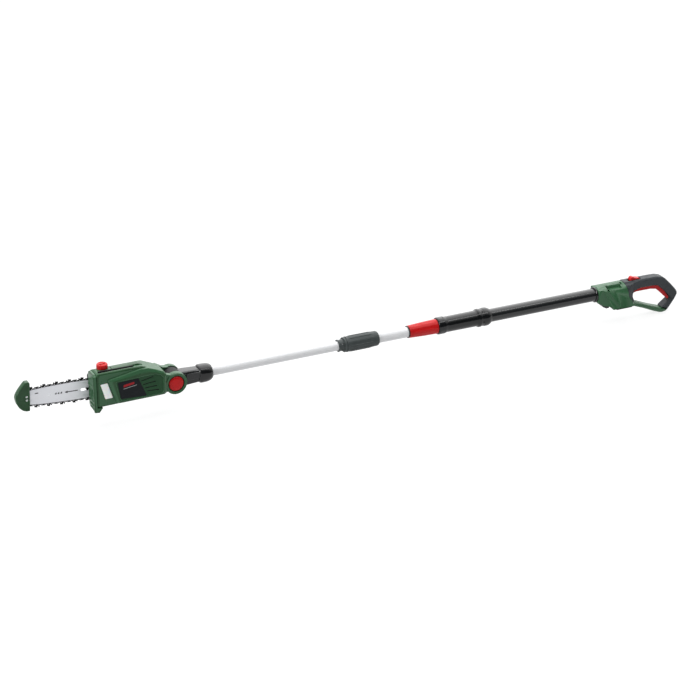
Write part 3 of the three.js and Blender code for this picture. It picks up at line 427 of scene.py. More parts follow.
def plate(outline, y0, y1, near=0.0, far=0.0, steps=4, r=None, corner=5):
    """An XZ outline through the thickness y0 to y1, with rounded edges at either face.

    With r, the outline's corners are rounded too.
    """
    loop = ccw(outline) if r is None else outline
    layers = edge_layers(y0, near, 1, steps)[::-1] + edge_layers(y1, far, -1, steps)
    rings = []
    for y, d in layers:
        if r is None:
            line = inset(loop, d) if d > 1e-6 else loop
        else:
            line = rounded(loop, r, corner, d)
        rings.append([(x, y, z) for x, z in line])
    return loft(rings)


def flat_plate(outline, z0, z1, edge=0.0, steps=4):
    """The same for an XY outline from z0 to z1, rounded at the top face."""
    return spun(plate(outline, -z1, -z0, near=edge, steps=steps), -math.pi / 2)


def turns(count):
    return [2 * math.pi * k / count for k in range(count)]


def lathe(profile, axis="X", centre=(0, 0), segments=64):
    """A turned body; its closed profile is a list of (along, radius)."""
    bm = bmesh.new()

    def place(a, u, v):
        if axis == "X":
            return (a, centre[0] + u, centre[1] + v)
        if axis == "Y":
            return (centre[0] + u, a, centre[1] + v)
        return (centre[0] + u, centre[1] + v, a)

    made = []
    for a, r in profile:
        if r < 1e-6:
            made.append([bm.verts.new(place(a, 0, 0))])
        else:
            made.append(
                [bm.verts.new(place(a, r * math.cos(t), r * math.sin(t))) for t in turns(segments)],
            )
    for a, b in zip(made, made[1:] + made[:1]):
        if len(a) == 1 and len(b) == 1:
            continue
        for i in range(segments):
            j = (i + 1) % segments
            if len(a) == 1:
                bm.faces.new((a[0], b[j], b[i]))
            elif len(b) == 1:
                bm.faces.new((a[i], a[j], b[0]))
            else:
                bm.faces.new((a[i], a[j], b[j], b[i]))
    bmesh.ops.recalc_face_normals(bm, faces=bm.faces)
    return bm


def soften(profile, radius=0.8, steps=3):
    """Rounds the corners of a closed turned profile, leaving points on the axis alone."""
    made = []
    count = len(profile)
    for i, p in enumerate(profile):
        a, b = profile[i - 1], profile[(i + 1) % count]
        if p[1] < 1e-6:
            made.append(p)
            continue
        la, lb = math.dist(a, p), math.dist(b, p)
        reach = min(radius, la * 0.45, lb * 0.45)
        u, v = unit(p, a), unit(p, b)
        s = (p[0] + u[0] * reach, p[1] + u[1] * reach)
        e = (p[0] + v[0] * reach, p[1] + v[1] * reach)
        made += curved(s, p, e, steps)
    return made


def block(x0, x1, y0, y1, z0, z1):
    bm = bmesh.new()
    bmesh.ops.create_cube(bm, size=1)
    for v in bm.verts:
        x, y, z = v.co
        v.co = (x0 if x < 0 else x1, y0 if y < 0 else y1, z0 if z < 0 else z1)
    return bm


def rod(axis, r, a, b, u, v, segments=36):
    """A plain cylinder from a to b along its axis, through u and v on the other two."""
    return lathe([(a, 0), (a, r), (b, r), (b, 0)], axis, (u, v), segments)


def merge(*parts):
    """Several bodies in one mesh, side by side or pushed into each other."""
    whole = bmesh.new()
    for bm in parts:
        mesh = bpy.data.meshes.new("part")
        bm.to_mesh(mesh)
        bm.free()
        whole.from_mesh(mesh)
        bpy.data.meshes.remove(mesh)
    return whole


def spun(bm, angle):
    """Turns a body about the pole axis."""
    bmesh.ops.rotate(bm, verts=bm.verts, matrix=Matrix.Rotation(angle, 3, "X"))
    return bm


def discard(ob):
    mesh = ob.data
    bpy.data.objects.remove(ob)
    bpy.data.meshes.remove(mesh)


def temporary(bm):
    """A body as an object, for the modifiers that shape it."""
    mesh = bpy.data.meshes.new("tool")
    bm.to_mesh(mesh)
    bm.free()
    ob = bpy.data.objects.new("tool", mesh)
    scene.collection.objects.link(ob)
    return ob


def evaluated(ob):
    graph = bpy.context.evaluated_depsgraph_get()
    mesh = bpy.data.meshes.new_from_object(ob.evaluated_get(graph))
    bm = bmesh.new()
    bm.from_mesh(mesh)
    bpy.data.meshes.remove(mesh)
    return bm


def carve(bm, *steps):
    """Joins or cuts one body after another: each step is a body to cut away, or ("+", body) to add."""
    ob = temporary(bm)
    tools = []
    for step in steps:
        joined = isinstance(step, tuple)
        tool = temporary(step[1] if joined else step)
        tools.append(tool)
        modifier = ob.modifiers.new("cut", "BOOLEAN")
        modifier.solver = "EXACT"
        modifier.operation = "UNION" if joined else "DIFFERENCE"
        modifier.object = tool
    made = evaluated(ob)
    for o in [ob, *tools]:
        discard(o)
    bmesh.ops.remove_doubles(made, verts=made.verts, dist=0.01)
    bmesh.ops.dissolve_degenerate(made, edges=made.edges, dist=0.01)
    return made


def trimmed(bm, *planes):
    """Cuts away the side that each plane's normal points to."""
    for point, normal in planes:
        geometry = bm.verts[:] + bm.edges[:] + bm.faces[:]
        side = {"plane_co": point, "plane_no": normal, "clear_outer": True}
        cut = bmesh.ops.bisect_plane(bm, geom=geometry, **side)
        edges = [g for g in cut["geom_cut"] if isinstance(g, bmesh.types.BMEdge)]
        bmesh.ops.holes_fill(bm, edges=edges)
    bmesh.ops.recalc_face_normals(bm, faces=bm.faces)
    return bm


FLAT_ENOUGH = math.radians(0.4)


def eased(bm, width, segments=2, angle=30):
    """Rounds every sharp edge a little."""
    bmesh.ops.dissolve_limit(bm, angle_limit=FLAT_ENOUGH, verts=bm.verts, edges=bm.edges)
    least = math.radians(angle)
    sharp = [e for e in bm.edges if len(e.link_faces) == 2 and e.calc_face_angle(0) > least]
    how = {"offset_type": "OFFSET", "affect": "EDGES", "clamp_overlap": True, "profile": 0.6}
    bmesh.ops.bevel(bm, geom=sharp, offset=width, segments=segments, **how)
    return bm


def remeshed(bm, voxel, rounds, keep):
    """A moulded form whose edges melt into each other; keep is the share of faces left."""
    ob = temporary(bm)
    grid = ob.modifiers.new("grid", "REMESH")
    grid.mode = "VOXEL"
    grid.voxel_size = voxel
    soft = ob.modifiers.new("soft", "SMOOTH")
    soft.factor = 0.5
    soft.iterations = rounds
    thin = ob.modifiers.new("thin", "DECIMATE")
    thin.ratio = keep
    made = evaluated(ob)
    discard(ob)
    return made


def cad(node):
    """A copy of a CAD node's mesh in millimetres, with its split corners joined."""
    bm = bmesh.new()
    bm.from_mesh(NODES[node].data)
    bmesh.ops.transform(bm, matrix=FROM_ROW, verts=bm.verts)
    bmesh.ops.remove_doubles(bm, verts=bm.verts, dist=0.003)
    return bm


def piece(name, bm, mat, body, replaces=(), angle=38, second=None, second_if=None):
    """Puts a finished body in the row frame, on its CAD body.

    Faces whose centre passes second_if get the second material.
    """
    mesh = bpy.data.meshes.new(name)
    for face in bm.faces:
        face.material_index = int(second is not None and second_if(face.calc_center_median()))
    bmesh.ops.transform(bm, matrix=TO_ROW, verts=bm.verts)
    bm.normal_update()
    bm.to_mesh(mesh)
    bm.free()
    mesh.shade_smooth()
    mesh.set_sharp_from_angle(angle=math.radians(angle))
    mesh.materials.append(mat)
    if second:
        mesh.materials.append(second)
    ob = bpy.data.objects.new(name, mesh)
    scene.collection.objects.link(ob)
    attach(ob, body)
    if replaces:
        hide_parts(*replaces)
    return ob


# ---- tubes ----
def tube(name, r, bore, x0, x1, mat, body):
    cut = 0.3
    outside = [(x0, r - cut), (x0 + cut, r), (x1 - cut, r), (x1, r - cut)]
    profile = [(x0, bore), *outside, (x1, bore)]
    piece(name + "_skin", lathe(profile, segments=96), mat, body, (name,))


def make_tubes():
    tube("front_tube", 13.9, 12.4, -500, 255, TUBE, "front_section")
    tube("middle_tube", 15.7, 14.4, -14, 642, TUBE, "middle_section")
    tube("rear_tube", 20.0, 18.4, 256, 851, DARK_TUBE, "handle")


# ---- clamps and sleeves ----
def ribs_at(count, depth, x0, x1, share, ease):
    """How far a ribbed surface stands above its valleys, by place and angle."""
    half = math.pi / count * share

    def rise(x, t):
        ends = max(0.0, min(1.0, (x - x0) / ease)) * max(0.0, min(1.0, (x1 - x) / ease))
        off = (t + math.pi / count) % (2 * math.pi / count) - math.pi / count
        side = max(0.0, min(1.0, (half - abs(off)) / (half * 0.3) + 0.5))
        return depth * ends * side * side * (3 - 2 * side)

    return rise


def stations(profile, step):
    """Adds points along the long runs of a profile."""
    made = []
    for a, b in zip(profile, profile[1:] + profile[:1]):
        made.append(a)
        n = int(math.dist(a, b) / step)
        for k in range(1, n):
            made.append((a[0] + (b[0] - a[0]) * k / n, a[1] + (b[1] - a[1]) * k / n))
    return made


def ribbed_sleeve(outer, inner, relief, segments=192):
    """A turned sleeve whose outside rises and falls round its axis; its bore stays plain."""
    bm = bmesh.new()
    rings = []
    for k, (x, r) in enumerate(outer + inner):
        ring = []
        for t in turns(segments):
            q = r + (relief(x, t) if k < len(outer) else 0)
            ring.append(bm.verts.new((x, q * math.cos(t), q * math.sin(t))))
        rings.append(ring)
    for a, b in zip(rings, rings[1:] + rings[:1]):
        for i in range(segments):
            j = (i + 1) % segments
            bm.faces.new((a[i], a[j], b[j], b[i]))
    return outward(bm)


def make_front_clamp():
    lip = [
        (-42, 14.3), (-42, 17.6), (-40.5, 18.6), (-38.6, 18.2), (-37, 17.0), (-22, 17.6), (-21, 18.2),
        (-20, 18.2), (-20, 14.3),
    ]
    lip = soften(lip, 0.5)
    # the inner corner at the front stays square
    lip[0] = (-42, 14.3)
    windows = []
    for y in (-14, 14):
        windows.append(block(-33, -28, y - 4, y + 4, 7, 12))
        windows.append(block(-33, -28, y - 4, y + 4, -12, -7))
    bm = carve(lathe(lip, segments=80), *windows)
    piece("clamp_lip_ring", bm, GREY, "middle_section", ("clamp_lip",))

    rise = ribs_at(10, 1.5, -12, 72, 0.45, 12)
    outer = [
        (-23.4, 20.9), (-23.2, 22.0), (-22, 22.4), (-17.6, 22.4), (-17.2, 21.2), (-16.0, 21.2),
        (-15.6, 23.2), (-13.5, 23.4), (-11, 22.6), (60, 22.4), (76, 22.6), (83, 22.4), (86.5, 21.4),
        (88.5, 19.6), (89.5, 17.2),
    ]
    inner = [(89.5, 16.4), (-10.2, 16.4), (-10.2, 19.4), (-23.4, 19.4)]
    profile = [p for p in stations(outer, 3.0)[:-1] if p[1] > 17]

    def relief(x, t):
        return rise(x, t) if x > -12 else 0

    piece(
        "twist_sleeve_ribbed", ribbed_sleeve(profile, inner, relief), GREY, "front_clamp",
        ("twist_sleeve",), angle=50,
    )


def make_red_clamp():
    lip = soften([(187, 16.3), (187, 18.0), (188.2, 18.9), (189.6, 18.6), (190, 17.8), (190, 16.3)], 0.3)
    piece("red_clamp_lip", lathe(lip, segments=80), BLACK, "red_clamp", ("red_sleeve_lip",))
    outer = [
        (190.4, 18.0), (191.4, 18.6), (193, 18.9), (240, 21.3), (282, 22.25), (283.8, 22.3), (284.4, 21.8),
    ]
    outer = [p for p in stations(outer, 3.0) if p[1] > 18]
    inner = [(284.4, 20.5), (249.5, 20.5), (249.5, 16.2), (190.4, 16.2)]
    flutes = ribs_at(7, 0.8, 199, 279, 0.4, 14)

    def sunk(x, t):
        return -flutes(x, t)

    piece(
        "red_sleeve_ribbed", ribbed_sleeve(outer, inner, sunk), RED, "red_clamp",
        ("red_sleeve",), angle=50,
    )


def make_front_grip():
    profile = [
        (285, 20.3), (285, 24.2), (286.2, 25.4), (289, 26.2), (306, 26.2), (309, 25.6), (314, 24.2),
        (318, 24.0), (414, 24.3), (418, 25.2), (421, 27.2), (423.5, 28.1), (428, 28.1), (430.5, 27.0),
        (439, 27.0), (441.5, 28.1), (450, 28.2), (454.5, 27.6), (458.5, 25.9), (463, 23.4), (465, 22.2),
        (465, 20.3),
    ]
    bm = lathe(soften(profile, 0.7, 2), segments=96)
    eyes = []
    for angle in (0.5, 3.6, 1.75, 5.1):
        eyes.append(spun(rod("Z", 2.2, 18, 40, 434, 0, 20), angle))
    # flat panels round the flange at the front
    flats = []
    for angle in turns(6):
        flats.append(spun(block(290.5, 305.5, -7, 7, 25.4, 40), angle))
    bm = carve(bm, *eyes, *flats)
    piece("front_grip_body", bm, BLACK, "handle", ("front_grip",))


# ---- neck ----
PIVOT = (-560, 0)
COLLAR = (
    (-484, 19, 0.2), (-483, 22.2, 0.2), (-479.5, 25.2, 0.3), (-476.5, 26.0, 0.3), (-462, 26.4, 0.16),
    (-455, 26.4, 0.03), (-449, 25.2, 0), (-444.5, 23.0, 0), (-441, 20.0, 0), (-440, 16.6, 0),
)


def in_ear_shaded_hub(p):
    """The matt part of the neck, between the two ears of the saw head: its matt black rubber is painted
    shade from the ears.
    """
    return math.hypot(p.x - PIVOT[0], p.z) < 31 and abs(p.y) < 19.5


def make_collar():
    """The collar's rings: place along the pole, radius and squareness."""
    rings = []
    for x, r, squareness in COLLAR:
        ring = []
        for t in turns(48):
            c, s = math.cos(t), math.sin(t)
            p = 2 + 6 * squareness
            q = (abs(c) ** p + abs(s) ** p) ** (-1 / p)
            q = 1 + (q - 1) * 0.45
            ring.append((x, r * c * q, r * s * q))
        rings.append(ring)
    return loft(rings)


def make_neck():
    bore = 12.3
    profile = [(-19, bore), (-19, 29.3), (-17.8, 30.5), (17.8, 30.5), (19, 29.3), (19, bore)]
    hub = lathe(profile, "Y", PIVOT, 72)
    section = rounded([(-19, -22, 9), (19, -22, 9), (19, 22, 8), (-19, 22, 8)], 8, 5)
    taper = ((-556, 0.94), (-550, 0.97), (-547, 1.0), (-524, 1.0), (-470, 0.87))
    body = loft([[(x, y * k, z * k) for y, z in section] for x, k in taper])
    raised = [(-524, -5), (-478, -5), (-478, 14.5), (-524, 14.5)]
    pad_near = plate(raised, -21.2, -15, near=1.0, r=3)
    pad_far = plate(raised, 15, 21.2, far=1.0, r=3)
    bm = carve(
        hub,
        ("+", body),
        ("+", make_collar()),
        ("+", pad_near),
        ("+", pad_far),
        rod("X", 14.1, -501, -400, 0, 0, 64),
        rod("Y", bore, -40, 40, *PIVOT, 48),
        rod("X", 4, -560, -490, 0, 0, 24),
        rod("Z", 4.6, -40, -18, -458, 0, 32),
        rod("Z", 2.6, -30, -8, -458, 0, 24),
        block(-541, -531, -30, -17.9, -10, 10),
    )
    # The hub between the ears takes matt black rubber as painted shade from the ears.
    piece(
        "neck_casting", eased(bm, 0.5, 2, 35), BLACK, "front_section", ("neck",),
        second=RUBBER, second_if=in_ear_shaded_hub,
    )


# ---- saw head ----
HEAD = [
    (-796.6, -27.5), (-588, -25), (-588, 37), (-602, 50), (-645, 69), (-660, 75), (-700, 76.5),
    (-789, 76.5), (-796.6, 70),
]
CAVITY = [
    (-796.6, -27.5), (-612, -25.4), (-612, 54), (-645, 69), (-660, 75), (-700, 76.5), (-790, 76.5),
    (-796.6, 71),
]
TOP_PANEL = [
    (-747, 73.5), (-664, 73.5), (-653, 72.5), (-656, 75.6), (-667, 79), (-682, 78.8), (-694, 77.8),
    (-744, 77.8),
]
WINDOW = [(-785, 43), (-764.5, 44.3), (-750.5, -3), (-772.5, -3.6)]
LABEL_PLATE = [(-737, 42.5), (-676, 45.3), (-653, -13), (-730, -8.5)]
MOTOR = (-715, 15.5)
OIL_CAP = (-766, 0)
KNOB = (-781, 10.6)
SPROCKET = (-752, 9.4)
EAR_RADIUS = 33
HUB_GAP = 19.4
GRIP_CIRCLE = 17.6
GUARD_X = -984
GUARD_SCREWS = (15.5, 26)
BOSS_RADIUS = 12
BUTTON_POCKET = 24.6
PIVOT_RING = [
    (30, 0), (30, 33), (34.6, 32.8), (36.4, 31.6), (37, 29.6), (36.4, 27.2), (35.2, 26), (35.2, 0),
]
PIVOT_SLEEVE = [(20, 8.8), (20, 12), (14.4, 12), (14.4, 8.8)]


def ear(y0, y1, near, far):
    """One arm of the fork that holds the neck."""
    below = [(-620, -24), (-592, -22), (-584, -21)]
    above = [(-590, 34.6), (-600, 36), (-620, 36)]
    disc = []
    for k in range(33):
        a = -2.3 + (4.35 * k) / 32
        disc.append((PIVOT[0] + EAR_RADIUS * math.cos(a), EAR_RADIUS * math.sin(a)))
    return plate(below + disc + above, y0, y1, near=near, far=far, steps=5)


def head_cuts():
    """The room between the ears for the neck's hub, round the boss it turns on."""
    made = []
    for room in (
        rod("Y", 31.7, -HUB_GAP, HUB_GAP, *PIVOT, 64),
        block(PIVOT[0], -470, -HUB_GAP, HUB_GAP, -60, 60),
    ):
        made.append(carve(room, rod("Y", BOSS_RADIUS, -30, 30, *PIVOT, 48)))
    return made


def mirrored(profile, side):
    """A profile along Y for the near side (-1) or the far side (1)."""
    return [(side * y, r) for y, r in profile]


def make_near_shell():
    body = trimmed(plate(HEAD, -36, 6, near=6, steps=6, r=8), ((0, -0.15, 0), (0, 1, 0)))
    ring = lathe(mirrored(PIVOT_RING, -1), "Y", PIVOT, 72)
    sleeve = lathe(mirrored(PIVOT_SLEEVE, -1), "Y", PIVOT, 40)
    bm = carve(
        body,
        ("+", ear(-34, -19.6, 2.4, 0)),
        ("+", ring),
        ("+", sleeve),
        plate(inset(ccw(CAVITY), 3.2), -32.8, 10),
        plate(inset(ccw(WINDOW), -0.3), -50, -20),
        rod("Y", 23.2, -50, -20, *MOTOR, 40),
        plate([(-669, -8), (-614, -8), (-620, 46), (-674, 40)], -50, -20),
        plate(inset(ccw(TOP_PANEL), -0.3), -21.3, -1.7),
        rod("Z", 11.6, 60, 100, *OIL_CAP, 40),
        plate([(-788, 73.6), (-683, 73.6), (-676, 90), (-794, 90)], -29.4, -23.2, r=2),
        rod("Y", BUTTON_POCKET, -60, -26, *PIVOT, 64),
        rod("Y", 21, -60, -25, *PIVOT, 64),
        rod("Y", 8.6, -60, 60, *PIVOT, 40),
        *head_cuts(),
    )
    piece(
        "head_cover_near", eased(bm, 0.45, 2, 32), GREEN, "saw_head", ("head_shell_near",),
    )


def make_far_shell():
    body = plate(HEAD, 0.15, 17, far=2.0, r=8)
    fall = ((2, 76.5), (10, 73.2), (17.5, 68.6), (20, 66), (20, 90), (2, 90))
    slope = loft([[(x, y, z) for y, z in fall] for x in (-812, -640)])
    boss = lathe([(55, 0), (55, 15.2), (75.5, 15.2), (76.5, 14.2), (76.5, 0)], "Z", OIL_CAP, 64)
    boss = trimmed(boss, ((0, 0.15, 0), (0, -1, 0)))
    rear = [(-660, -26), (-588, -25), (-588, 35), (-602, 44), (-625, 53), (-660, 60)]
    rear = plate(rear, 10, 26, far=5, r=5)
    cheek = [(-640, -25.6), (-575, -29.4), (-562, -32), (-562, 32), (-580, 34), (-600, 46), (-640, 46)]
    cheek = plate(cheek, 14, 33, far=3, r=4)
    ring = lathe(PIVOT_RING, "Y", PIVOT, 72)
    sleeve = lathe(PIVOT_SLEEVE[::-1], "Y", PIVOT, 40)
    bm = carve(
        body,
        slope,
        ("+", boss),
        ("+", rear),
        ("+", ear(19.6, 34, 0, 2.4)),
        ("+", cheek),
        ("+", ring),
        ("+", sleeve),
        trimmed(plate(inset(ccw(CAVITY), 3.2), -10, 13.8), ((0, 0, 67.5), (0, 0, 1))),
        rod("Z", 11.6, 60, 100, *OIL_CAP, 40),
        rod("Y", BUTTON_POCKET, 26, 60, *PIVOT, 64),
        rod("Y", 21, 25, 60, *PIVOT, 64),
        rod("Y", 8.6, -60, 60, *PIVOT, 40),
        rod("Y", 9.3, 0, 40, *SPROCKET, 40),
        rod("Y", 3.8, 0, 40, *KNOB, 28),
        *head_cuts(),
    )
    piece("head_cover_far", eased(bm, 0.45, 2, 32), GREEN, "saw_head", ("head_shell_far",))


def make_bumper():
    """The front plate with a raised rim down its near edge, a ledge, teeth, ribs and the claw."""
    outline = [
        (-36, -41), (-33, -42.5), (16, -36), (16.8, -30), (16.8, 62), (12, 70), (4, 73.5), (-27, 74.5),
        (-36, 68),
    ]
    slab = plate(outline, -803.2, -797, near=1.2, r=4)
    rim = [(-36, -40), (-30.5, -41), (-30.5, 66), (-33, 71), (-36, 67)]
    rim = plate(rim, -805.6, -800, near=1.6, r=2)
    for bm in (slab, rim):
        for v in bm.verts:
            v.co = Vector((v.co.y, v.co.x, v.co.z))
        outward(bm)
    ledge = plate([(-805.6, 30), (-800, 28.5), (-800, 34), (-805.6, 32.6)], -31, 14, r=0.8)
    teeth = []
    for z in (-9, -22, -34):
        tooth = [(-806.5, z), (-800, z - 5.5), (-800, z + 2.5)]
        teeth.append(plate(tooth, -31, 4, near=0.5, far=0.5, r=1.0))
    upright = [(-804.6, -4), (-800, -6), (-800, 27), (-804.6, 26)]
    ribs = [plate(upright, y, y + 2.2, r=1) for y in (-19, -7, 5)]
    claw = [(-803, -41), (-803, -24), (-797, -24), (-797, -27.8), (-779, -27.6), (-791, -42.5)]
    claw = plate(claw, -36, -20, near=1.4, far=1.2, r=1.8)
    added = [("+", p) for p in [rim, ledge, *teeth, *ribs, claw]]
    bm = carve(slab, *added, block(-796.9, -770, -40, 20, -27.6, 80))
    piece("bumper_plate", eased(bm, 0.35, 2, 35), GREEN, "saw_head", ("front_bumper",))


def in_shaded_dish(p):
    """The matt, sunken floor of the motor cover, in a darker green that is painted shade of the recess."""
    return -44.0 < p.y < -43.6


def make_motor_cover():
    base = [
        (-763, 52), (-740, -18.5), (-734, -22.5), (-598, -22), (-592, -14), (-592, 38), (-601, 50),
        (-621, 60), (-645, 69), (-668, 70), (-700, 64.5), (-760, 54.5),
    ]
    face = [
        (-744, 44.5), (-731.5, -11), (-725, -15.5), (-607, -15.5), (-601, -9), (-600, 33), (-609, 42.5),
        (-624, 48.5), (-640, 50), (-668, 49.5), (-697, 47.8), (-741, 46.5),
    ]

    def ring(t, y):
        line = [(a[0] * (1 - t) + b[0] * t, a[1] * (1 - t) + b[1] * t) for a, b in zip(base, face)]
        return [(x, y, z) for x, z in rounded(line, 3, 5)]

    steps = [
        (0, -31), (0, -40.0), (0.05, -41.2), (0.4, -43.8), (0.75, -45.3), (0.95, -45.6), (1.0, -45.6),
        (1.05, -45.3), (1.1, -44.2), (1.14, -43.8),
    ]
    bm = loft([ring(t, y) for t, y in steps])
    vents = [
        (-666, 34.5, -632, 41), (-661, 22.5, -625.5, 25.3), (-655, 11, -621.5, 11.2),
        (-649.5, 0, -616.5, -2.2),
    ]
    cuts = [plate(slot_outline(*v, 1.7), -60, -20) for v in vents]
    bm = carve(bm, rod("Y", 23.2, -42.8, -30, *MOTOR, 40), *cuts)
    # The dish floor takes the darker green, painted shade of the recess.
    piece(
        "motor_cover_bulge", eased(bm, 0.4, 2, 28), GREEN, "saw_head", ("motor_cover",),
        second=DISH_SHADE_GREEN, second_if=in_shaded_dish,
    )
    # Thin black sheets just behind the vent slots are painted shade: they make the slots read dark.
    backs = [plate(slot_outline(*v, 1.6), -41.9, -41.4) for v in vents]
    piece("vent_shade_backs", merge(*backs), RUBBER, "saw_head")


def make_label():
    """A black film with a plain red bar and a pale line; it carries no words."""
    film = rounded(LABEL_PLATE, 3, 5)
    piece(
        "label_film_plate", plate(film, -44.3, -43.5, near=0.2, steps=2), LABEL, "saw_head",
        ("label_plate",),
    )
    bar = rounded([(-721, 25.5), (-689, 30.5), (-688, 37.2), (-720, 32.8)], 1.0, 3)
    piece("label_red_bar", plate(bar, -44.38, -44.2), RED_INK, "saw_head")
    line = rounded([(-721.5, 19.8), (-681, 25.2), (-680.8, 26.8), (-721.3, 21.6)], 0.4, 2)
    piece("label_pale_line", plate(line, -44.38, -44.2), PALE_INK, "saw_head")


def make_window_and_lid():
    piece(
        "oil_window_pane", plate(WINDOW, -36.7, -33.1, near=0.6, r=2), WHITE, "saw_head",
        ("oil_window",),
    )
    bm = plate(TOP_PANEL, -21, -2, near=1.6, far=1.6, r=1.8)
    piece("top_lid", bm, GREEN, "saw_head", ("top_panel",))
    # A black rubber strip stands at the far wall of the lid groove as painted shade: the groove is dark
    # only from the shade inside it.
    groove_shade = [(-787, 74.4), (-686, 74.4), (-682, 77.4), (-688, 78.0), (-787, 79.4)]
    groove_shade = plate(groove_shade, -24.8, -21.5, near=0.5, r=0.8)
    piece("groove_shade_strip", groove_shade, RUBBER, "saw_head")


def make_buttons():
    """The domed red release buttons at either end of the swivel."""
    profile = [
        (38.8, 0), (38.7, 6), (38.3, 11), (37.5, 16), (36.5, 19.2), (35.2, 21.3), (33.4, 22.1),
        (30.5, 22.2), (30.5, 8.1), (17, 8.1), (17, 0),
    ]
    for side, name in ((-1, "near"), (1, "far")):
        bm = lathe(mirrored(profile, side), "Y", PIVOT, 72)
        body = "swivel_button_" + name
        piece("button_dome_" + name, bm, RED, body, (body,))


def make_oil_cap():
    """A red cap with finger grooves and a bar across its top."""
    profile = [
        (66, 0), (66, 7.6), (78.6, 7.6), (78.6, 13.8), (76.9, 13.8), (76.9, 15.8), (77.5, 16.4),
        (87.2, 15.9), (88.9, 15.3), (89.8, 14.0), (89.9, 12.4), (89.0, 11.0), (88.8, 0),
    ]
    cap = lathe(profile, "Z", OIL_CAP, 96)
    grips = []
    for a in turns(16):
        x, y = OIL_CAP[0] + GRIP_CIRCLE * math.cos(a), GRIP_CIRCLE * math.sin(a)
        grips.append(rod("Z", 1.8, 75, 86.6, x, y, 14))
    bar = rounded([(-776, -1.7), (-756, -1.7), (-756, 1.7), (-776, 1.7)], 1.2, 4)
    bar = flat_plate(bar, 88, 90.5, 0.6)
    bm = carve(cap, *grips, ("+", bar))
    piece("oil_filler_cap", eased(bm, 0.3, 2, 35), RED, "cap_turn", ("oil_cap",))


def make_sprocket_cover():
    """The black cover on the far side, hollow, with ribs near its rear edge."""
    sharp = [(-800, -33), (-706, -33), (-700, -20), (-700, 42), (-712, 57), (-786, 57), (-800, 48)]
    body = trimmed(plate(sharp, 10, 40, far=4, steps=5, r=8, corner=6), ((0, 17.3, 0), (0, -1, 0)))
    ribs = [plate(slot_outline(-722, z, -742, z, 1.2), 38.6, 42) for z in range(-16, 34, 7)]
    bm = carve(
        body,
        plate(inset(ccw(rounded(sharp, 8, 6)), 3), 10, 36.8),
        block(-830, -790, 10, 30, -28.5, 52),
        rod("Y", 4.2, 10, 60, *KNOB, 28),
        *ribs,
    )
    piece("sprocket_casing", eased(bm, 0.5, 2, 32), BLACK, "saw_head", ("sprocket_cover",))


def make_locking_knob():
    profile = [(40.4, 0), (40.4, 16.4), (41, 16.8), (42.6, 16.8), (43.4, 15.8), (43.4, 0)]
    knob = lathe(soften(profile, 0.3), "Y", KNOB, 72)
    notches = []
    for a in turns(14):
        x, z = KNOB[0] + GRIP_CIRCLE * math.cos(a), KNOB[1] + GRIP_CIRCLE * math.sin(a)
        notches.append(rod("Y", 1.6, 39, 46, x, z, 14))
    wing = plate([(-795, 7.2), (-767, 7.2), (-767, 14), (-795, 14)], 43, 45.7, far=0.9, r=3)
    bm = carve(knob, *notches, ("+", wing), rod("Y", 3.8, 40, 42.4, *KNOB, 28))
    piece("locking_knob_ribbed", eased(bm, 0.25, 2, 35), RED, "knob", ("locking_knob",))


# ---- bar and chain ----
NOSE = (-983, 19.1)
RUN = math.dist(SPROCKET, NOSE)
ALONG = unit(SPROCKET, NOSE)
ACROSS = (ALONG[1], -ALONG[0])
BAR_Y = 21.5
NOSE_RADIUS = 19.5
PITCH = 9.525
LINK_RADIUS = 2.75
WIDTHS = [
    (24, 18), (32, 21.5), (40, 23.9), (50, 25.8), (62, 26.9), (80, 27.2), (100, 27.1), (125, 26.7),
    (150, 26.1), (172, 25.3), (195, 24.1), (212, 22.6),
]


def bar_point(s, t):
    """The X and Z of a place s along the bar from the sprocket and t across it."""
    return (SPROCKET[0] + ALONG[0] * s + ACROSS[0] * t, SPROCKET[1] + ALONG[1] * s + ACROSS[1] * t)


def bar_loop(offset, steps=24):
    """The bar's outline moved outwards, from the tail over the nose and back."""
    upper = [(s - (offset if not i else 0), w + offset) for i, (s, w) in enumerate(WIDTHS)]
    arc = []
    for k in range(steps + 1):
        a = math.radians(78 - 156 * k / steps)
        reach = NOSE_RADIUS + offset
        arc.append((RUN + reach * math.cos(a), reach * math.sin(a)))
    return upper + arc + [(s, -t) for s, t in upper[::-1]]


ARROW = ((82, -1.0), (112, -1.0), (112, -3.6), (121, 0.3), (112, 4.2), (112, 1.6), (82, 1.6))
LINK_MARK = ((0, -2), (5, -2), (5, 1.2), (3.4, 1.2), (2.2, 3.4), (0, 3.4))


def make_bar():
    outline = [bar_point(s, t) for s, t in bar_loop(0)]
    core = [bar_point(s, t) for s, t in bar_loop(-8)]
    band = carve(plate([bar_point(s, t) for s, t in bar_loop(2)], 20.6, 22.4), plate(core, 19, 24))
    slot = slot_outline(*bar_point(70, 0), *bar_point(10, 0), 4.2, 12)
    holes = [plate(slot, 10, 40), rod("Y", 1.6, 10, 40, -917, 15, 28)]
    holes += [rod("Y", 2.5, 10, 40, GUARD_X, z, 28) for z in GUARD_SCREWS]
    holes += [rod("Y", 2.2, 10, 40, *bar_point(38, t), 28) for t in (-11, 11)]
    bm = carve(plate(outline, 19.5, 23.5, near=0.35, far=0.35, steps=2), band, *holes)
    piece("guide_bar_plate", bm, BAR, "saw_head", ("guide_bar",), angle=30)


def make_bar_marks():
    """A plain chain-direction arrow and a line of link shapes, printed on both faces."""
    marks = []
    for y0, y1 in ((19.44, 19.6), (23.4, 23.56)):
        marks.append(plate(slot_outline(-957, 28.5, -950, 28.3, 1.5, 8), y0, y1))
        marks.append(plate([bar_point(s, t) for s, t in ARROW], y0, y1))
        for k in range(3):
            s = 128 + 8 * k
            marks.append(plate([bar_point(s + a, t) for a, t in LINK_MARK], y0, y1))
    piece("bar_direction_arrow", merge(*marks), INK, "saw_head")


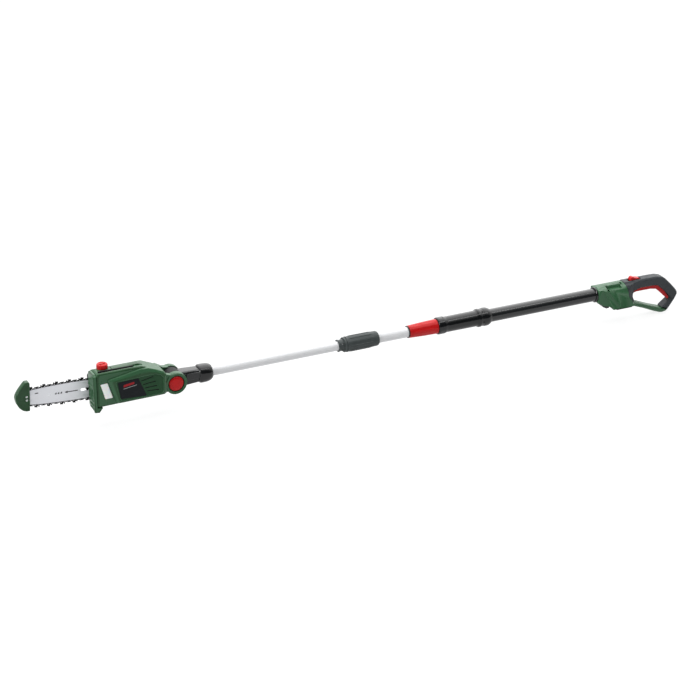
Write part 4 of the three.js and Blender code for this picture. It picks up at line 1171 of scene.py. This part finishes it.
def chain_rivets():
    """The rivets round the bar and the sprocket, and the pitch that closes the loop."""
    line = bar_loop(2.6, 36)
    for k in range(25):
        a = math.radians(-100 - 160 * k / 24)
        line.append((19 * math.cos(a), 19 * math.sin(a)))
    lengths = [math.dist(p, q) for p, q in zip(line, line[1:] + line[:1])]
    total = sum(lengths)
    count = 4 * round(total / PITCH / 4)
    made = []
    for i in range(count):
        left, k = i * total / count, 0
        while left > lengths[k]:
            left -= lengths[k]
            k += 1
        p, q = line[k], line[(k + 1) % len(line)]
        f = left / lengths[k]
        made.append((p[0] + (q[0] - p[0]) * f, p[1] + (q[1] - p[1]) * f))
    return made, total / count


def arc_points(x, first, sweep, steps):
    """Part of the round end of a link, about the rivet at x."""
    made = []
    for k in range(steps + 1):
        a = math.radians(first + sweep * k / steps)
        made.append((x + LINK_RADIUS * math.cos(a), LINK_RADIUS * math.sin(a)))
    return made


def strap_outline(pitch):
    front = arc_points(0, 90, 180, 6)
    back = arc_points(pitch, -90, 180, 6)
    return [*front, (pitch / 2, -2.0), *back, (pitch / 2, 2.7)]


def cutter_outline(pitch):
    """A strap that rises into the depth gauge, the gullet and the tooth."""
    front = arc_points(0, 180, 90, 3)
    back = arc_points(pitch, -90, 110, 4)
    gauge = [(pitch + 2.8, 4.6), (pitch + 1.8, 6.2), (pitch + 0.2, 5.8), (pitch - 1.0, 3.0)]
    tooth = [(pitch - 2.4, 2.7), (pitch - 3.2, 3.6), (pitch - 3.6, 6.0), (pitch - 2.8, 7.3)]
    return [*front, (pitch / 2, -2.0), *back, *gauge, *tooth, (-2.4, 6.2), (-2.9, 4.8)]


def drive_outline(pitch):
    """A drive link, with the tang that runs in the bar's groove."""
    tang = [(-2.3, 0.4), (-1.6, -1.9), (1.2, -2.6), (2.4, -4.2), (3.4, -7.2), (5.2, -7.4), (6.4, -5.0)]
    heel = [(7.6, -2.8), (pitch + 1.0, -2.2), (pitch + 2.3, -0.2), (pitch + 1.4, 1.7)]
    return [*tang, *heel, (pitch / 2 + 1.4, 0.9), (pitch / 2 - 1.4, 0.9), (-1.4, 1.9)]


def make_chain():
    rivets, pitch = chain_rivets()
    count = len(rivets)

    def local(i, a, b):
        s, e = rivets[i % count], rivets[(i + 1) % count]
        u = unit(s, e)
        return bar_point(s[0] + u[0] * a - u[1] * b, s[1] + u[1] * a + u[0] * b)

    def link(i, outline, side, inner, outer):
        y0, y1 = sorted((side * inner, side * outer))
        line = [local(i, a, b) for a, b in outline]
        return plate(line, BAR_Y + y0, BAR_Y + y1, near=0.16, far=0.16, steps=1)

    tooth_top = [(pitch - 2.9, 7.35), (-2.4, 6.25), (-2.6, 5.2), (pitch - 3.4, 6.2)]
    half_pin = [(-2.15, 0), (-2.15, 0.9), (-1.9, 1.35)]
    pin = half_pin + [(-y, r) for y, r in half_pin[::-1]]
    straps, cutters, pins = [], [], []
    for i in range(count):
        if i % 2 == 0:
            straps.append(link(i, drive_outline(pitch), 1, -0.62, 0.62))
        else:
            # every fourth strap on a side is a cutter, and the sides take turns
            for side, cutting in ((-1, i % 8 == 1), (1, i % 8 == 5)):
                if cutting:
                    cutters.append(link(i, cutter_outline(pitch), side, 0.72, 1.75))
                    cutters.append(link(i, tooth_top, side, 1.2, -1.6))
                else:
                    straps.append(link(i, strap_outline(pitch), side, 0.72, 1.75))
        pins.append(lathe([(BAR_Y + y, r) for y, r in pin], "Y", local(i, 0, 0), 12))
    piece("chain_links", merge(*straps), CHAIN, "saw_head", ("saw_chain",), angle=30)
    piece("chain_cutters", merge(*cutters), CUTTER, "saw_head", angle=30)
    piece("chain_rivets", merge(*pins), STEEL, "saw_head", angle=30)


def make_guard():
    outline = [
        (-972.8, 64.5, 3), (-975.5, 69.6, 4), (-986, 69.6, 6), (-994.4, 60.6, 14), (-1004.6, 48.4, 30),
        (-1013.2, 35.6, 20), (-1016.6, 25, 20), (-1013.8, 9.6, 25), (-1006.8, -5, 25), (-997, -14.4, 20),
        (-987, -18.4, 12), (-976.5, -18.8, 3),
    ]
    panel = [
        (-979.5, 60, 2), (-988.5, 59.5, 4), (-999, 46.6, 20), (-1007.4, 34, 18), (-1010.4, 25, 16),
        (-1008, 11.2, 18), (-1002.4, -1.6, 20), (-994.2, -9.6, 16), (-986.5, -12.8, 8), (-979.5, -13.2, 2),
    ]
    pocket = [
        (-970, 56), (-990, 54), (-1004, 44), (-1013.2, 28), (-1013, 12), (-1004, -5), (-992, -13),
        (-970, -14.6),
    ]
    body = plate(outline, 12, 31, near=2.4, far=2.4, steps=5, r=5)
    bm = carve(
        body,
        plate(rounded(pocket, 4, 4), 17.3, 25.7),
        plate(rounded(panel, 4, 4), 8, 13.6),
        plate(rounded(panel, 4, 4), 29.4, 34),
        rod("Y", 9.6, 6, 14.6, -984.5, 20.7, 48),
        rod("Y", 9.6, 28.4, 36, -984.5, 20.7, 48),
        *[rod("Y", 4.0, 6, 15.4, GUARD_X, z, 28) for z in GUARD_SCREWS],
    )
    bosses = []
    for y0, y1 in ((13.2, 19.2), (23.8, 29.8)):
        bosses += [rod("Y", 4.6, y0, y1, GUARD_X, z, 28) for z in GUARD_SCREWS]
    bm = merge(eased(bm, 0.5, 2, 32), *bosses)
    piece("bar_tip_guard", bm, GREEN, "saw_head", ("tip_guard",))
    profile = [(13.0, 0), (12.9, 2.2), (13.3, 3.3), (15.0, 3.6), (15.0, 2.1), (27.3, 2.1), (27.3, 0)]
    for k, z in enumerate(GUARD_SCREWS, 1):
        head = lathe(soften(profile, 0.25), "Y", (GUARD_X, z), 40)
        cross = []
        for a, b in ((1.9, 0.45), (0.45, 1.9)):
            cross.append(block(GUARD_X - a, GUARD_X + a, 10, 14.4, z - b, z + b))
        piece(f"guard_bolt_{k}", carve(head, *cross), STEEL, "saw_head", (f"guard_screw_{k}",))


# ---- rear housing and handle ----
TRIGGER_BELOW = 2.6
TRIGGER_ABOVE = 3.2


def push_out(moved, distance):
    """Moves vertices along their normals, within the plane of the handle."""
    for v, n in moved:
        v.co += Vector((n.x, 0, n.z)).normalized() * distance


def make_trigger():
    """The trigger strip, thickened below the grip and at its rear end."""
    bm = cad("trigger")
    bm.normal_update()
    lower = [(v, v.normal.copy()) for v in bm.verts if v.normal.z < -0.25 and v.co.x > 968]
    upper = [(v, v.normal.copy()) for v in bm.verts if v.normal.z > 0.2 and v.co.x > 1030]
    push_out(lower, TRIGGER_BELOW)
    push_out(upper, TRIGGER_ABOVE)
    bm = remeshed(bm, 0.5, 4, 0.35)
    piece("trigger_bar", bm, RED, "trigger", ("trigger",), angle=70)


def make_battery_foot():
    """The black foot, with a chin ahead of it and a lip along either rail."""
    chin = [(855, -32), (880, -39), (880, -45.5), (870, -46.5), (858, -40)]
    chin = plate(chin, -19, 19, near=1.5, far=1.5, r=2)
    lip = [(902, -51.0), (957, -51.0), (957, -54.0), (902, -54.0)]
    lip = plate(lip, -28.4, 28.4, near=1, far=1, r=1)
    lip = carve(lip, block(890, 960, -20, 20, -60, -40))
    bm = merge(eased(cad("battery_foot"), 0.5, 2), chin, lip)
    piece("battery_foot_rails", bm, BLACK, "handle", ("battery_foot",))


def make_handle():
    for side in ("near", "far"):
        bm = eased(cad("rear_shell_" + side), 0.9, 3, 20)
        piece("rear_cover_" + side, bm, GREEN, "handle", ("rear_shell_" + side,))
    bm = remeshed(cad("soft_grip"), 0.8, 18, 0.3)
    piece("soft_grip_moulding", bm, GRIP, "handle", ("soft_grip",), angle=70)
    make_trigger()
    bm = remeshed(cad("lock_off_slider"), 0.4, 4, 0.3)
    piece("lock_off_button", bm, RED, "lock_off", ("lock_off_slider",), angle=70)
    rim = [(830, 20.3), (830, 22.2), (831.2, 23.8), (832.8, 24.4), (835.6, 24.4), (835.6, 20.3)]
    bm = lathe(soften(rim, 0.5), segments=80)
    piece("housing_rim", bm, BLACK, "handle", ("front_rim",))
    make_battery_foot()


# ---- the rest ----
FINISHES = (
    (STEEL, "motor_can sprocket_shaft shaft_bearing bar_stud swivel_spring neck_screw"),
    (STEEL, "trigger_pin trigger_spring handle_screw_1 handle_screw_2 handle_screw_3"),
    (CHAIN, "drive_gear drive_sprocket"),
    (BLACK, "oil_pump bar_locator front_tube_plug middle_tube_plug switch_module contact_block"),
    (RUBBER, "cap_seal front_lead coil_lead"),
    (GREY, "clamp_collet rear_collet"),
    (BRASS, "motor_rotor"),
    (WHITE, "oil_tank"),
)


def polish_rest():
    """CAD nodes whose shape is right are eased at their edges and get their finish."""
    finish = {}
    for mat, names in FINISHES:
        for name in names.split():
            finish[name] = mat
    for name, mat in finish.items():
        node = NODES[name]
        node.data.materials.clear()
        node.data.materials.append(mat)
        weld = node.modifiers.new("weld", "WELD")
        weld.merge_threshold = 0.00001
        edge = node.modifiers.new("edge", "BEVEL")
        edge.width = 0.00025
        edge.segments = 2
        edge.limit_method = "ANGLE"
        edge.angle_limit = math.radians(35)
        edge.harden_normals = False
    shown = [n for n, o in NODES.items() if not o.hide_render and n not in finish]
    if shown:
        print("CAD nodes without a finish:", shown)


make_camera()
scene.view_settings.view_transform = "Standard"
make_stage()
make_tubes()
make_front_clamp()
make_red_clamp()
make_front_grip()
make_neck()
make_near_shell()
make_far_shell()
make_bumper()
make_motor_cover()
make_label()
make_window_and_lid()
make_buttons()
make_oil_cap()
make_sprocket_cover()
make_locking_knob()
make_bar()
make_bar_marks()
make_chain()
make_guard()
make_handle()
polish_rest()
